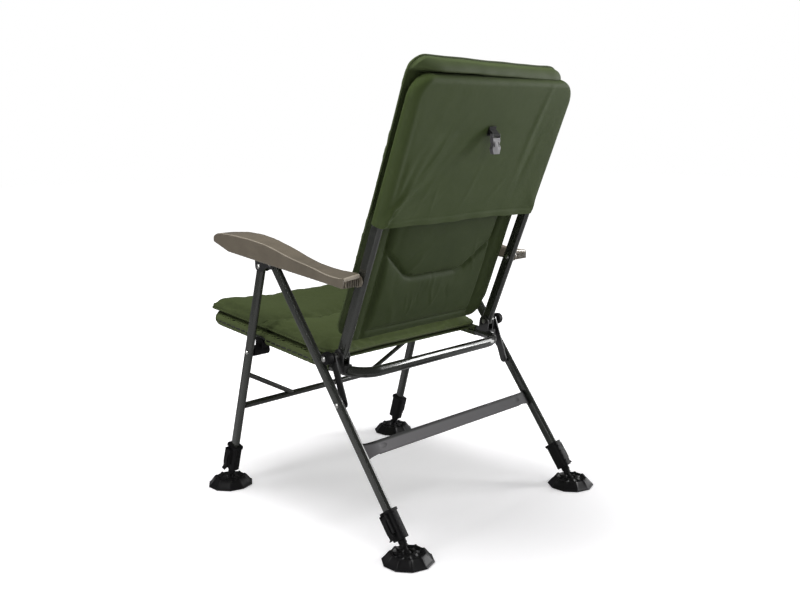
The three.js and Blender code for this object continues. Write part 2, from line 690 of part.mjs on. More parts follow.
// The side outline of the armrest, shrunk inward by the given inset for the hollow underneath.
function armOutline(inset) {
  const front = -armFrontReach + inset;
  const rear = armRear.x + lugRadius * 0.6 - inset;
  const at = (share) => -armFrontReach + armRun * share;
  const shape = new THREE.Shape();
  const skirtFront = armSkirtFront + (inset > 0 ? -armPeak : 0);
  const skirtRear = armRear.y + armRearSkirt + (inset > 0 ? -armPeak : 0);
  shape.moveTo(at(0.14) + inset * 0.3, skirtFront);
  shape.lineTo(rear - lugRadius * 0.4, skirtRear);
  shape.lineTo(rear, armRear.y - (inset > 0 ? armPeak : armRearSkirt / 2));
  shape.quadraticCurveTo(rear + inset * 0.1, armRear.y + armRearTop - inset, rear - lugRadius,
    armRear.y + armRearTop - inset);
  shape.bezierCurveTo(at(0.8), armRear.y + armRearTop * 1.25 - inset, at(0.64), armPeak * 0.74 - inset,
    at(0.45), armPeak * 0.95 - inset);
  shape.bezierCurveTo(at(0.34), armPeak * 1.04 - inset, at(0.2), armPeak - inset,
    at(0.05), armFrontTop + armNoseDrop / 2 - inset);
  shape.quadraticCurveTo(front, armFrontTop - inset, front, armFrontTop - armNoseDrop - inset);
  shape.lineTo(at(0.14) + inset * 0.3, skirtFront);
  return shape;
}

// The plan outline: rounded at the nose and straight along both edges.
function armPlan(inset) {
  const front = -armFrontReach + inset;
  const rear = armRear.x + lugRadius;
  const low = armInnerX + inset;
  const high = armOuterX - inset;
  const nose = (armOuterX - armInnerX) * 0.45;
  const shape = new THREE.Shape();
  shape.moveTo(high, rear);
  shape.lineTo(low, rear);
  shape.lineTo(low, front + nose);
  shape.quadraticCurveTo(low, front, low + nose, front);
  shape.lineTo(high - nose * 0.6, front);
  shape.quadraticCurveTo(high, front, high, front + nose * 0.6);
  shape.closePath();
  return shape;
}

function armShell() {
  const outer = common(
    across(armOutline(0), armInnerX, armOuterX, 7), upright(armPlan(0), -armPeak, 2 * armPeak, 5));
  const hollow = common(
    across(armOutline(armWall), armInnerX, armOuterX, 7),
    upright(armPlan(armWall), -2 * armPeak, 2 * armPeak, 5));
  const lug = pin(lugRadius, lugInnerX, armInnerX + armWall, armRear.x, armRear.y, 16);
  const skirtSlope = (armRear.y + armRearSkirt - armSkirtFront) / (armRun * 0.86);
  const ribs = [];
  const ribSpan = [armInnerX + armWall / 2, armOuterX - armWall / 2];
  for (let i = 0; i < armRibCount; i++) {
    const y = armRear.x - lugRadius * 0.7 - armRibPitch * i;
    const low = armRear.y + armRearSkirt - skirtSlope * (armRear.x - y) + armWall / 2;
    ribs.push(box(ribSpan, [y - armRibSheet, y], [low, armRear.y + armRearTop - armWall / 2]));
  }
  for (const y of [-armRibSheet - bracketRun / 3, rearPivot.y - frontPivot.y + bracketRun / 3]) {
    ribs.push(box(ribSpan, [y, y + armRibSheet], [bracketTop + fitGap, armPeak * 0.86]));
  }
  const hole = drill(lugInnerX - cutOverrun, armInnerX + 2 * armWall, armRear.x, armRear.y);
  return cut(join(cut(outer, hollow), lug, ...ribs), hole);
}

// Armrest brackets: black steel channels under the armrests that hold both leg tops between cheeks.
const bracketSheet = 2;
const bracketTop = 31;
const bracketRun = 46;
const bracketEar = 13;
const bracketInnerX = legInnerX - 2 * fitGap - bracketSheet;
const bracketOuterX = legOuterX + 2 * fitGap + bracketSheet;

function armBracket() {
  const rear = new THREE.Vector2(rearPivot.y - frontPivot.y, rearPivot.z - frontPivot.z);
  const outline = new THREE.Shape();
  outline.absarc(0, 0, bracketEar, Math.PI, 1.5 * Math.PI, false);
  outline.lineTo(bracketEar * 0.6, -bracketEar);
  outline.lineTo(rear.x - bracketEar, rear.y - bracketEar * 0.8);
  outline.absarc(rear.x, rear.y, bracketEar, 1.5 * Math.PI, 2 * Math.PI, false);
  outline.lineTo(rear.x + bracketEar, bracketTop);
  outline.lineTo(-bracketEar, bracketTop);
  outline.closePath();
  const blank = across(outline, bracketInnerX, bracketOuterX);
  const throat = box([bracketInnerX + bracketSheet, bracketOuterX - bracketSheet],
    [-2 * bracketRun, rear.x + 2 * bracketRun], [-2 * bracketEar, bracketTop - bracketSheet]);
  const drills = [[0, 0], [rear.x, rear.y]].map(([y, z]) => drill(
    bracketInnerX - cutOverrun, bracketOuterX + cutOverrun, y, z));
  return cut(blank, throat, ...drills);
}

addPair(armFrame, 'armrest', armShell(), 'armrest');
addPair(armFrame, 'armrest_bracket', armBracket(), 'black');

// Pivot hardware of the armrests: a stub rivet over each front leg, a pin through each rear leg and a
// rivet from each back rail into the armrest's lug.
const frontRivet = rivetShank(legOuterX + fitGap, bracketOuterX + fitGap, bracketOuterX + fitGap, 0, 0);
addPair(armFrame, 'front_leg_rivet', frontRivet, 'steel');
const pinHead = headHeight * 0.7;
const rearPin = turnedAcross([
  [headRadius, bracketInnerX - fitGap - pinHead], [headRadius, bracketInnerX - fitGap],
  [boltRadius, bracketInnerX - fitGap], [boltRadius, bracketOuterX + fitGap],
  [headRadius, bracketOuterX + fitGap], [headRadius, bracketOuterX + fitGap + pinHead],
], rearPivot.y - frontPivot.y, rearPivot.z - frontPivot.z);
addPair(armFrame, 'rear_leg_pin', rearPin, 'steel');
const railInnerX = railX - railShort / 2;
const armRivet = turnedAcross([
  [headRadius * 0.5, railInnerX - fitGap - headHeight], [headRadius, railInnerX - fitGap - headHeight * 0.4],
  [headRadius, railInnerX - fitGap], [boltRadius, railInnerX - fitGap],
  [boltRadius, armInnerX + armWall],
], armRear.x, armRear.y);
addPair(armFrame, 'armrest_rivet', armRivet, 'steel');

// Back rails: flat-oval tubes with round lower ends, drilled for the recline bolt and the armrest rivet.
const railTop = 500;
const backTop = 630;
const backBend = 58;

function backRail() {
  const foot = across(circle(railLong / 2), railX - railShort / 2, railX + railShort / 2);
  const tube = upright(oval(railLong, railShort), 0, railTop).translate(railX, 0, 0);
  const drills = [0, armrestPivotReach].map((z) => drill(railX - railShort, railX + railShort, 0, z));
  return cut(join(foot, tube), ...drills);
}

addPair(backFrame, 'back_rail', backRail(), 'frame');

// Back top bow: the bent tube that joins the rails inside the fabric pocket.
function backTopBow() {
  const low = railTop + fitGap;
  const corners = [
    new THREE.Vector3(-railX, 0, low), new THREE.Vector3(-railX, 0, backTop),
    new THREE.Vector3(railX, 0, backTop), new THREE.Vector3(railX, 0, low),
  ];
  const section = oval(railLong, railShort);
  const turned = new THREE.Shape(section.getPoints(arcSteps).map((p) => new THREE.Vector2(p.y, p.x)));
  return tubeAlong(bentPath(corners, backBend, bendSteps), turned, 1);
}

add(backFrame, 'back_top_bow', backTopBow(), 'frame');

const padCells = 12;
const panelCells = 8;
const padRowShares = [0.05, 0.16, 0.36, 0.64, 0.84, 0.95, 1];
const seamPower = 4;

// A stuffed pad as a closed form: a crowned front, a flatter rear, sides drawn in between the corners
// and a front that dips to each sewn seam. Across is X, up is Z and the front faces -Y. Seams are
// given as shares of the half height, and sag lets them hang away from the middle of the pad.
function pad({ width, height, front, rear, drawIn, seams, seamShare, cornerRadius, toeShare, sag, cells }) {
  const index = [];
  const positions = [];
  const place = (s) => Math.sin(s * Math.PI / 2);
  const stops = [-1, ...seams, 1];
  const rows = [-1];
  for (let i = 1; i < stops.length; i++) {
    rows.push(...padRowShares.map((share) => stops[i - 1] + (stops[i] - stops[i - 1]) * share));
  }
  const last = rows.length - 1;
  const dip = (v) => {
    let deepest = 0;
    for (let i = 1; i < stops.length - 1; i++) {
      const span = (v < stops[i] ? stops[i] - stops[i - 1] : stops[i + 1] - stops[i]) / 2;
      const near = Math.max(0, 1 - Math.abs(v - stops[i]) / span);
      deepest = Math.max(deepest, 1 - Math.sqrt(1 - near ** seamPower));
    }
    return deepest;
  };
  const corner = (u, v) => {
    const reachX = 1 - Math.abs(u);
    const reachZ = 1 - Math.abs(v);
    const inX = Math.max(0, 1 - reachX * width / 2 / cornerRadius);
    const inZ = Math.max(0, 1 - reachZ * height / 2 / cornerRadius);
    const over = Math.hypot(inX, inZ);
    return over > 1 ? (over - 1) * 0.7 : 0;
  };
  const node = (i, j) => {
    const u = place(2 * i / cells - 1);
    const v = rows[j];
    const tuck = corner(u, v);
    const x = u * (width / 2 - drawIn * (1 - v * v) * Math.abs(u) - tuck * cornerRadius);
    const hang = sag * Math.max(0, 2 * Math.abs(u) - 1) * (1 - v * v);
    const z = v * (height / 2 - drawIn * (1 - u * u) * Math.abs(v) - tuck * cornerRadius) - hang;
    const edge = Math.sqrt((1 - u ** 6) * (1 - v ** 6));
    const puff = 1 - seamShare * dip(v);
    const taper = toeShare ? Math.min(1, toeShare + (1 - toeShare) * (v + 1) / 0.5) : 1;
    return { x, z, puff: edge * puff * taper, edge };
  };
  const border = (i, j) => i === 0 || j === 0 || i === cells || j === last;
  const frontIndex = new Map();
  const rearIndex = new Map();
  for (let i = 0; i <= cells; i++) {
    for (let j = 0; j <= last; j++) {
      const { x, z, puff, edge } = node(i, j);
      const key = i * (last + 1) + j;
      frontIndex.set(key, positions.length / 3);
      positions.push(x, border(i, j) ? 0 : -front * puff, z);
      if (border(i, j)) {
        rearIndex.set(key, frontIndex.get(key));
      } else {
        rearIndex.set(key, positions.length / 3);
        positions.push(x, rear * edge, z);
      }
    }
  }
  for (let i = 0; i < cells; i++) {
    for (let j = 0; j < last; j++) {
      const keys = [[i, j], [i + 1, j], [i + 1, j + 1], [i, j + 1]].map(([a, b]) => a * (last + 1) + b);
      const [a, b, c, d] = keys.map((key) => frontIndex.get(key));
      const [e, f, g, h] = keys.map((key) => rearIndex.get(key));
      index.push(a, b, c, a, c, d, e, g, f, e, h, g);
    }
  }
  const geometry = new THREE.BufferGeometry();
  geometry.setAttribute('position', new THREE.BufferAttribute(new Float32Array(positions), 3));
  geometry.setIndex(index);
  return toGeometry(toSolid(geometry));
}

// The pocket's box in the backrest's frame, which the cushion, panel and buckle are placed from.
const pocketSideRoom = 2.4;
const pocketLow = 322;
const pocketHigh = 650;
const pocketWall = 2.6;
const pocketWidth = 2 * (railX + railShort / 2 + pocketSideRoom + pocketWall);
const pocketRear = railLong / 2 + fitGap + pocketWall;
const pocketFront = -pocketRear;
const pocketCorner = 52;
const pocketRound = 9;

// Back panel: the quilted rear cover of the backrest, behind the cushion and in front of the rails.
const panelInset = 16;
const panelWidth = 2 * (railX - panelInset);
const panelLow = 19;
const panelHigh = 652;
const panelHalf = 4.5;
const panelDrawIn = 2;
const panelCorner = 44;
const panel = pad({
  width: panelWidth, height: panelHigh - panelLow, front: panelHalf, rear: panelHalf,
  drawIn: panelDrawIn, seams: [], seamShare: 0, cornerRadius: panelCorner, toeShare: 0, sag: 0,
  cells: panelCells,
});
const panelRear = pocketFront - fitGap;
const panelFront = panelRear - 2 * panelHalf;
panel.translate(0, panelRear - panelHalf, (panelLow + panelHigh) / 2);
add(backFrame, 'back_panel', panel, 'fabric');

// Back cushion: the long padded front of the backrest, thin where it meets the seat.
const backPadInset = 2;
const backPadWidth = 2 * (railX - backPadInset);
const backPadLow = 26;
const backPadHigh = 678;
const backPadFront = 25;
const backPadDepth = 6;
const backPadDrawIn = 5;
const backPadCorner = 46;
const backPadSeams = [-0.3, 0.235];
const backPad = pad({
  width: backPadWidth, height: backPadHigh - backPadLow, front: backPadFront, rear: backPadDepth,
  drawIn: backPadDrawIn, seams: backPadSeams, seamShare: 0.45, cornerRadius: backPadCorner, toeShare: 0.3,
  sag: 0, cells: padCells,
});
backPad.translate(0, panelFront - fitGap - backPadDepth, (backPadLow + backPadHigh) / 2);
add(backFrame, 'back_cushion', backPad, 'cushion');

// Back pocket: the fabric cover pulled down over the rails and top bow, hollow and open at its hem.
function pocketForm(grow) {
  const half = pocketWidth / 2 + grow;
  const top = pocketHigh + grow;
  const shape = new THREE.Shape();
  shape.moveTo(-half, pocketLow - (grow < 0 ? cutOverrun : 0));
  shape.lineTo(half, pocketLow - (grow < 0 ? cutOverrun : 0));
  shape.absarc(half - pocketCorner, top - pocketCorner, pocketCorner, 0, Math.PI / 2, false);
  shape.absarc(-half + pocketCorner, top - pocketCorner, pocketCorner, Math.PI / 2, Math.PI, false);
  shape.closePath();
  const depth = pocketRear - pocketFront + 2 * grow;
  const form = new THREE.ExtrudeGeometry(shape, {
    depth: depth - 2 * pocketRound, bevelEnabled: true, bevelThickness: pocketRound,
    bevelSize: pocketRound, bevelOffset: -pocketRound, bevelSegments: 3, curveSegments: arcSteps,
  });
  return form.rotateX(Math.PI / 2).translate(0, pocketRear + grow - pocketRound, 0);
}

const hemTrim = box([-pocketWidth, pocketWidth], [-pocketWidth, pocketWidth],
  [pocketLow - 4 * cutOverrun, pocketLow + cutOverrun]);
const pocket = cut(pocketForm(0), pocketForm(-pocketWall), hemTrim);
add(backFrame, 'back_pocket', pocket, 'fabric');

// Seat sling: the fabric sheet stretched between the side tubes, with a sleeve round each tube that
// is cut away at the pivot blocks.
const slingSheet = 4;
const sleeveWall = 2.4;
const slingRearY = -saddleLength / 2 - cutOverrun;
const slingFrontShare = 0.5;

function seatSling() {
  const sleeve = tubeAlong(
    seatBow(seatFrontY, seatFrontBend), circle(seatTubeRadius + sleeveWall), circleSteps - 1);
  const sideSleeves = [-1, 1].map((side) => {
    const rod = new THREE.CylinderGeometry(seatTubeRadius + sleeveWall, seatTubeRadius + sleeveWall,
      slingRearY - seatJointY + cutOverrun, 2 * arcSteps);
    rod.translate(side * seatTubeX, (slingRearY + seatJointY - cutOverrun) / 2, -seatDrop);
    return rod;
  });
  const outline = roundedRectangle(2 * seatTubeX, slingRearY - seatFrontY, seatFrontBend * slingFrontShare);
  const sheet = upright(outline, -slingSheet / 2, slingSheet / 2, 2);
  sheet.translate(0, (slingRearY + seatFrontY) / 2,
    -seatDrop + seatTubeRadius + sleeveWall - slingSheet / 2);
  const tubes = [
    tubeAlong(seatBow(seatFrontY, seatFrontBend), circle(seatTubeRadius + fitGap), circleSteps),
    tubeAlong(seatBow(seatRearY, seatRearBend), circle(seatTubeRadius + fitGap), circleSteps),
  ];
  const joint = [-1, 1].map((side) => {
    const rod = new THREE.CylinderGeometry(seatTubeRadius + fitGap, seatTubeRadius + fitGap,
      8 * cutOverrun, 2 * arcSteps);
    return rod.translate(side * seatTubeX, seatJointY, -seatDrop);
  });
  const notches = [-1, 1].map((side) => {
    const reach = blockDepth / 2 + cutOverrun;
    const inner = blockInnerX - cutOverrun;
    const outer = seatTubeX + 2 * seatTubeRadius;
    const spanX = side > 0 ? [inner, outer] : [-outer, -inner];
    return box(spanX, [seatPivotLocal.x - reach, seatPivotLocal.x + reach],
      [-2 * seatDrop, -seatDrop + seatTubeRadius * 0.35]);
  });
  return cut(join(sleeve, ...sideSleeves, sheet), ...tubes, ...joint, ...notches);
}

add(seatFrame, 'seat_sling', seatSling(), 'fabric');

// Seat cushion: a channelled pad lying on the sling, piped round its edge.
const seatPadOverhang = 1.5;
const seatPadWidth = 2 * (seatTubeX + seatPadOverhang);
const seatPadFrontY = -522;
const seatPadRearY = -26;
const seatPadRise = 18;
const seatPadDepth = 9;
const seatPadDrawIn = 4;
const seatPadCorner = 40;
const seatPadSeams = [0.08];
const seatPadSag = 60;
const seatPad = pad({
  width: seatPadWidth, height: seatPadRearY - seatPadFrontY, front: seatPadRise, rear: seatPadDepth,
  drawIn: seatPadDrawIn, seams: seatPadSeams, seamShare: 0.4, cornerRadius: seatPadCorner, toeShare: 0,
  sag: seatPadSag, cells: padCells,
});
const seatPadBase = -seatDrop + seatTubeRadius + sleeveWall + fitGap;
seatPad.rotateX(-Math.PI / 2).translate(0, (seatPadFrontY + seatPadRearY) / 2, seatPadBase + seatPadDepth);
add(seatFrame, 'seat_cushion', seatPad, 'cushion');

// Buckle: a webbing loop sewn to the pocket and a side-release buckle that hangs from it.
const strapZ = 536;
const strapWidth = 22;
const strapSheet = 1.8;
const strapReach = 13;
const buckleWidth = 29;
const buckleHeight = 40;
const buckleSheet = 9;
const buckleBar = 2;

function webbingLoop() {
  const tab = strapReach * 0.8;
  const y = pocketRear + fitGap;
  const outer = across(strap(new THREE.Vector2(y + strapSheet, strapZ),
    new THREE.Vector2(y + strapReach, strapZ - tab / 2), 2 * strapSheet + buckleBar / 2),
  -strapWidth / 2, strapWidth / 2);
  const eye = across(strap(new THREE.Vector2(y + strapSheet, strapZ),
    new THREE.Vector2(y + strapReach, strapZ - tab / 2), strapSheet + buckleBar / 2),
  -strapWidth, strapWidth);
  const face = box([-strapWidth, strapWidth], [pocketRear - strapWidth, y], [0, 2 * strapZ]);
  const back = box([-strapWidth / 2, strapWidth / 2], [y, y + strapSheet], [strapZ - tab, strapZ + tab]);
  return join(cut(outer, eye, face), back);
}

add(backFrame, 'buckle_strap', webbingLoop(), 'webbing');

const buckleEye = new THREE.Vector2(pocketRear + fitGap + strapReach, strapZ - strapReach * 0.4);
const buckleFrame = new THREE.Group();
buckleFrame.position.set(0, buckleEye.x, buckleEye.y);
buckleFrame.rotation.x = backLean;
backFrame.add(buckleFrame);

function buckle() {
  const half = buckleWidth / 2;
  const outline = new THREE.Shape();
  outline.moveTo(-half * 0.86, buckleBar + strapSheet);
  outline.lineTo(half * 0.86, buckleBar + strapSheet);
  outline.lineTo(half, -buckleHeight * 0.32);
  outline.quadraticCurveTo(half * 0.8, -buckleHeight * 0.5, half, -buckleHeight * 0.68);
  outline.lineTo(half * 0.7, -buckleHeight);
  outline.lineTo(-half * 0.7, -buckleHeight);
  outline.lineTo(-half, -buckleHeight * 0.68);
  outline.quadraticCurveTo(-half * 0.8, -buckleHeight * 0.5, -half, -buckleHeight * 0.32);
  outline.closePath();
  const body = new THREE.ExtrudeGeometry(outline, {
    depth: buckleSheet, bevelEnabled: false, curveSegments: 4,
  });
  body.rotateX(Math.PI / 2).translate(0, buckleSheet / 2, 0);
  const slots = [-1, 1].map((side) => box(
    [Math.min(side * half * 0.5, side * half * 0.72), Math.max(side * half * 0.5, side * half * 0.72)],
    [-buckleSheet, buckleSheet], [-buckleHeight * 0.62, -buckleHeight * 0.36]));
  const windowX = strapWidth / 2 + 2 * fitGap;
  const above = box([-windowX, windowX], [-buckleSheet, buckleSheet],
    [buckleBar / 2, buckleBar + 2 * strapSheet]);
  const below = box([-windowX, windowX], [-buckleSheet, buckleSheet],
    [-2 * strapSheet - buckleBar / 2 - 2 * fitGap, -buckleBar / 2]);
  const trim = [-1, 1].map((side) => box([-windowX, windowX],
    side > 0 ? [buckleBar / 2, buckleSheet] : [-buckleSheet, -buckleBar / 2],
    [-buckleBar, buckleBar]));
  return cut(body, ...slots, above, below, ...trim);
}

add(buckleFrame, 'buckle', buckle(), 'black');

// The chair's origin is on the floor, under the middle of its box.
const extent = new THREE.Box3().setFromObject(chair, true);
const object = new THREE.Group();
chair.position.y = -(extent.min.y + extent.max.y) / 2;
object.add(chair);

export default object;
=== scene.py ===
import json
import math

import bmesh
import bpy
import numpy as np
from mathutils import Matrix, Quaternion, Vector


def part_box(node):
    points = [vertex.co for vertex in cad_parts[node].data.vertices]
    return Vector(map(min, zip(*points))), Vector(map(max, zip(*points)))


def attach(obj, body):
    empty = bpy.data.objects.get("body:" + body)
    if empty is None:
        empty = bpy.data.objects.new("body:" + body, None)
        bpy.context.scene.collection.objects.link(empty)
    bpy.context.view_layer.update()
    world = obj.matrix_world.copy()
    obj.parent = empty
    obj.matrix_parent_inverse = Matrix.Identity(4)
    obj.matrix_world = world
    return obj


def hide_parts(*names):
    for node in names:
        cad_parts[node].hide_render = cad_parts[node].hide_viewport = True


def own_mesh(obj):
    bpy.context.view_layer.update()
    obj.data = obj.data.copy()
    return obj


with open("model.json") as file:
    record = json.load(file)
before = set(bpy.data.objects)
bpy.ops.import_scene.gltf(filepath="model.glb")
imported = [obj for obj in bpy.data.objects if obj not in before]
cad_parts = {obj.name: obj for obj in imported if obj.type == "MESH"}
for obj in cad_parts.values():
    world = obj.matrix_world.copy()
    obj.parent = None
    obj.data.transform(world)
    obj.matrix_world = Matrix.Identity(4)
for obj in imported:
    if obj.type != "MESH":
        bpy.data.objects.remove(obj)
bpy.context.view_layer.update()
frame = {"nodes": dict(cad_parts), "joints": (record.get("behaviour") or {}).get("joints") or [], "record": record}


# Camera: behind the chair on the sitter's left, a little above the armrests and looking slightly down.
# Its place, its three angles and its lens are those of the view that the chair is matched to.
link = bpy.context.scene.collection.objects.link
camera_data = bpy.data.cameras.new("rear_view")
camera_data.sensor_width = 36.0
camera_data.lens = 42.0
camera = bpy.data.objects.new("rear_view", camera_data)
link(camera)
camera.location = (1.59658, 1.64075, 0.89379)
yaw = math.radians(225.0036)
pitch = math.radians(-10.3902)
roll = math.radians(-0.7071)
aim = Vector((math.sin(yaw) * math.cos(pitch), math.cos(yaw) * math.cos(pitch), math.sin(pitch)))
camera.rotation_euler = (aim.to_track_quat("-Z", "Y") @ Quaternion((0, 0, 1), roll)).to_euler()
bpy.context.scene.camera = camera
bpy.context.scene.view_settings.view_transform = "Standard"


# Studio: a white sweep that keeps the chair's soft shadow and pales to pure white away from it, lit by
# a tall lamp to the camera's right, one over the chair, a narrow one to the left and a weak fill behind.
# The strip beside the tall lamp shows only as a line along glossy tubes.

# A socket that takes part in sums as a number does.
class Wire:
    def __init__(self, finish, socket):
        self.finish = finish
        self.socket = socket

    def maths(self, operation, first, second):
        return self.finish.node("ShaderNodeMath", {"operation": operation}, {0: first, 1: second})

    def __add__(self, other):
        return self.maths("ADD", self, other)

    def __sub__(self, other):
        return self.maths("SUBTRACT", self, other)

    def __rsub__(self, other):
        return self.maths("SUBTRACT", other, self)

    def __mul__(self, other):
        return self.maths("MULTIPLY", self, other)

    __radd__ = __add__
    __rmul__ = __mul__


# A material that grows one node at a time.
class Finish:
    def __init__(self, name, owner=None):
        self.material = owner or bpy.data.materials.new(name)
        self.material.use_nodes = True
        self.tree = self.material.node_tree
        self.tree.nodes.clear()

    def node(self, kind, settings, sockets, output=0):
        made = self.tree.nodes.new(kind)
        for setting, value in settings.items():
            if setting == "stops":
                ramp = made.color_ramp.elements
                while len(ramp) < len(value):
                    ramp.new(0.5)
                for element, (place, colour) in zip(ramp, value):
                    element.position = place
                    element.color = colour
            else:
                setattr(made, setting, value)
        for key, value in sockets.items():
            if isinstance(value, Wire):
                self.tree.links.new(value.socket, made.inputs[key])
            else:
                made.inputs[key].default_value = value
        return Wire(self, made.outputs[output] if made.outputs else None)

    def place(self, stretch=(1, 1, 1)):
        spot = self.node("ShaderNodeTexCoord", {}, {}, "Object")
        return self.node("ShaderNodeMapping", {}, {"Vector": spot, "Scale": stretch})

    def along(self, axis):
        return self.node("ShaderNodeSeparateXYZ", {}, {0: self.place()}, axis)

    def noise(self, scale, detail=3.0, stretch=(1, 1, 1)):
        sockets = {"Vector": self.place(stretch), "Scale": scale, "Detail": detail}
        return self.node("ShaderNodeTexNoise", {}, sockets)

    def bands(self, axis, scale):
        sockets = {"Vector": self.place(), "Scale": scale}
        return self.node("ShaderNodeTexWave", {"bands_direction": axis}, sockets)

    def ramp(self, value, *stops):
        grey = [(place, (shade, shade, shade, 1)) for place, shade in stops]
        return self.node("ShaderNodeValToRGB", {"stops": grey}, {0: value})

    def between(self, share, low, high):
        return self.node("ShaderNodeMix", {"data_type": "RGBA"}, {0: share, 6: low, 7: high}, 2)

    def bump(self, height, strength, distance):
        return self.node("ShaderNodeBump", {}, {"Height": height, "Strength": strength, "Distance": distance})

    def surface(self, sockets):
        shader = self.node("ShaderNodeBsdfPrincipled", {}, sockets)
        self.node("ShaderNodeOutputMaterial", {}, {"Surface": shader})
        return self.material


def floor_finish():
    sweep = Finish("studio_floor")
    spot = sweep.node("ShaderNodeTexCoord", {}, {}, "Object")
    reach = sweep.node("ShaderNodeVectorMath", {"operation": "LENGTH"}, {0: spot}, 1)
    far = sweep.ramp(reach * 0.25, (0.14, 0.0), (0.42, 1.0))
    seen = sweep.node("ShaderNodeLightPath", {}, {}, "Is Camera Ray")
    matt = sweep.node("ShaderNodeBsdfDiffuse", {}, {"Color": (0.9, 0.89, 0.905, 1)})
    pale = seen * (far * 0.6 + 0.22)
    glow = sweep.node("ShaderNodeEmission", {}, {"Color": (1, 1, 1, 1), "Strength": pale})
    both = sweep.node("ShaderNodeAddShader", {}, {0: matt, 1: glow})
    mirrored = sweep.node("ShaderNodeLightPath", {}, {}, "Is Glossy Ray")
    dim = sweep.node("ShaderNodeBsdfDiffuse", {}, {"Color": (0.1, 0.1, 0.1, 1)})
    final = sweep.node("ShaderNodeMixShader", {}, {0: mirrored * 0.7, 1: both, 2: dim})
    sweep.node("ShaderNodeOutputMaterial", {}, {"Surface": final})
    return sweep.material


def studio_world():
    world = bpy.data.worlds.new("studio")
    bpy.context.scene.world = world
    sky = Finish("studio", world)
    seen = sky.node("ShaderNodeLightPath", {}, {}, "Is Camera Ray")
    mirrored = sky.node("ShaderNodeLightPath", {}, {}, "Is Glossy Ray")
    soft = sky.node("ShaderNodeBackground", {}, {"Color": (1, 1, 1, 1), "Strength": 0.32 - mirrored * 0.22})
    white = sky.node("ShaderNodeBackground", {}, {"Color": (1, 1, 1, 1), "Strength": 1.0})
    mixed = sky.node("ShaderNodeMixShader", {}, {0: seen, 1: soft, 2: white})
    sky.node("ShaderNodeOutputWorld", {}, {"Surface": mixed})


def lamp(name, place, target, size, power, mirrored=True, lights=True):
    light = bpy.data.lights.new(name, "AREA")
    light.shape = "RECTANGLE"
    light.size, light.size_y = size
    light.energy = power
    made = bpy.data.objects.new(name, light)
    link(made)
    made.location = place
    made.rotation_euler = (Vector(target) - Vector(place)).to_track_quat("-Z", "Y").to_euler()
    made.visible_glossy = mirrored
    made.visible_diffuse = lights


studio_world()
lamp("key_lamp", (-2.5, 1.6, 1.5), (0, 0.1, 0.5), (0.40, 2.0), 44)
lamp("right_strip", (-2.6, 1.3, 1.0), (0, 0.1, 0.4), (1.1, 2.2), 34, lights=False)
lamp("top_lamp", (0.17, -0.36, 2.5), (0, 0, 0), (1.5, 1.5), 56, mirrored=False)
lamp("left_lamp", (2.6, -0.1, 1.2), (0, 0, 0.5), (0.25, 2.4), 24)
lamp("fill_lamp", (0.2, 3.2, 1.8), (0, 0, 0.6), (1.6, 1.2), 14, mirrored=False)

floor_reach = 14.0
corners = [(-floor_reach, -floor_reach, 0), (floor_reach, -floor_reach, 0),
           (floor_reach, floor_reach, 0), (-floor_reach, floor_reach, 0)]
floor_mesh = bpy.data.meshes.new("studio_floor")
floor_mesh.from_pydata(corners, [], [(0, 1, 2, 3)])
floor_mesh.materials.append(floor_finish())
floor = bpy.data.objects.new("studio_floor", floor_mesh)
link(floor)


# Steel frame: flat-oval leg and back tubes and round seat and brace tubes, bent, welded and sprayed
# in a dark grey-green semi-gloss, with a faint orange peel and slightly thin paint in places. Each tube
# is its solid with the facets' edges eased, so that the gloss runs along it in one line.
nodes = frame["nodes"]
carrier = {node: body for body, group in frame["record"]["behaviour"]["bodies"].items() for node in group}
tube_ease = 0.0006


def toned(colour, share=1.0):
    return tuple(part * share for part in colour) + (1,)


def sprayed_paint(name, colour, rough):
    paint = Finish(name)
    cloud = paint.noise(9.0, 4.0)
    peel = paint.noise(420.0, 2.0)
    worn = paint.ramp(paint.noise(38.0, 6.0), (0.62, 0.0), (0.8, 1.0))
    tone = paint.between(cloud, toned(colour, 0.82), toned(colour, 1.16))
    tone = paint.between(worn * 0.25, tone, toned(colour, 1.9))
    return paint.surface({
        "Base Color": tone, "Roughness": cloud * 0.14 + rough, "Metallic": 0.1, "Coat Weight": 1.0,
        "Coat Roughness": 0.06, "Normal": paint.bump(peel, 0.08, 0.0004)})


def dress(finish, *names):
    for name in names:
        for node in (name, name + "_left", name + "_right"):
            if node in nodes:
                nodes[node].data.materials.clear()
                nodes[node].data.materials.append(finish)


def shade_smooth(mesh):
    for face in mesh.polygons:
        face.use_smooth = True


def apply_modifiers(piece):
    graph = bpy.context.evaluated_depsgraph_get()
    solid = bpy.data.meshes.new_from_object(piece.evaluated_get(graph))
    piece.modifiers.clear()
    old = piece.data
    piece.data = solid
    bpy.data.meshes.remove(old)
    shade_smooth(solid)


def copy_of(node, name, finish):
    shape = bmesh.new()
    shape.from_mesh(nodes[node].data)
    shape.transform(nodes[node].matrix_world)
    bmesh.ops.remove_doubles(shape, verts=shape.verts, dist=1e-6)
    bmesh.ops.dissolve_limit(shape, angle_limit=0.02, verts=shape.verts, edges=shape.edges)
    shape.verts.index_update()
    points = [tuple(vertex.co) for vertex in shape.verts]
    faces = [tuple(vertex.index for vertex in face.verts) for face in shape.faces]
    shape.free()
    mesh = bpy.data.meshes.new(name)
    mesh.from_pydata(points, [], faces)
    mesh.materials.append(finish)
    shade_smooth(mesh)
    piece = bpy.data.objects.new(name, mesh)
    link(piece)
    return piece


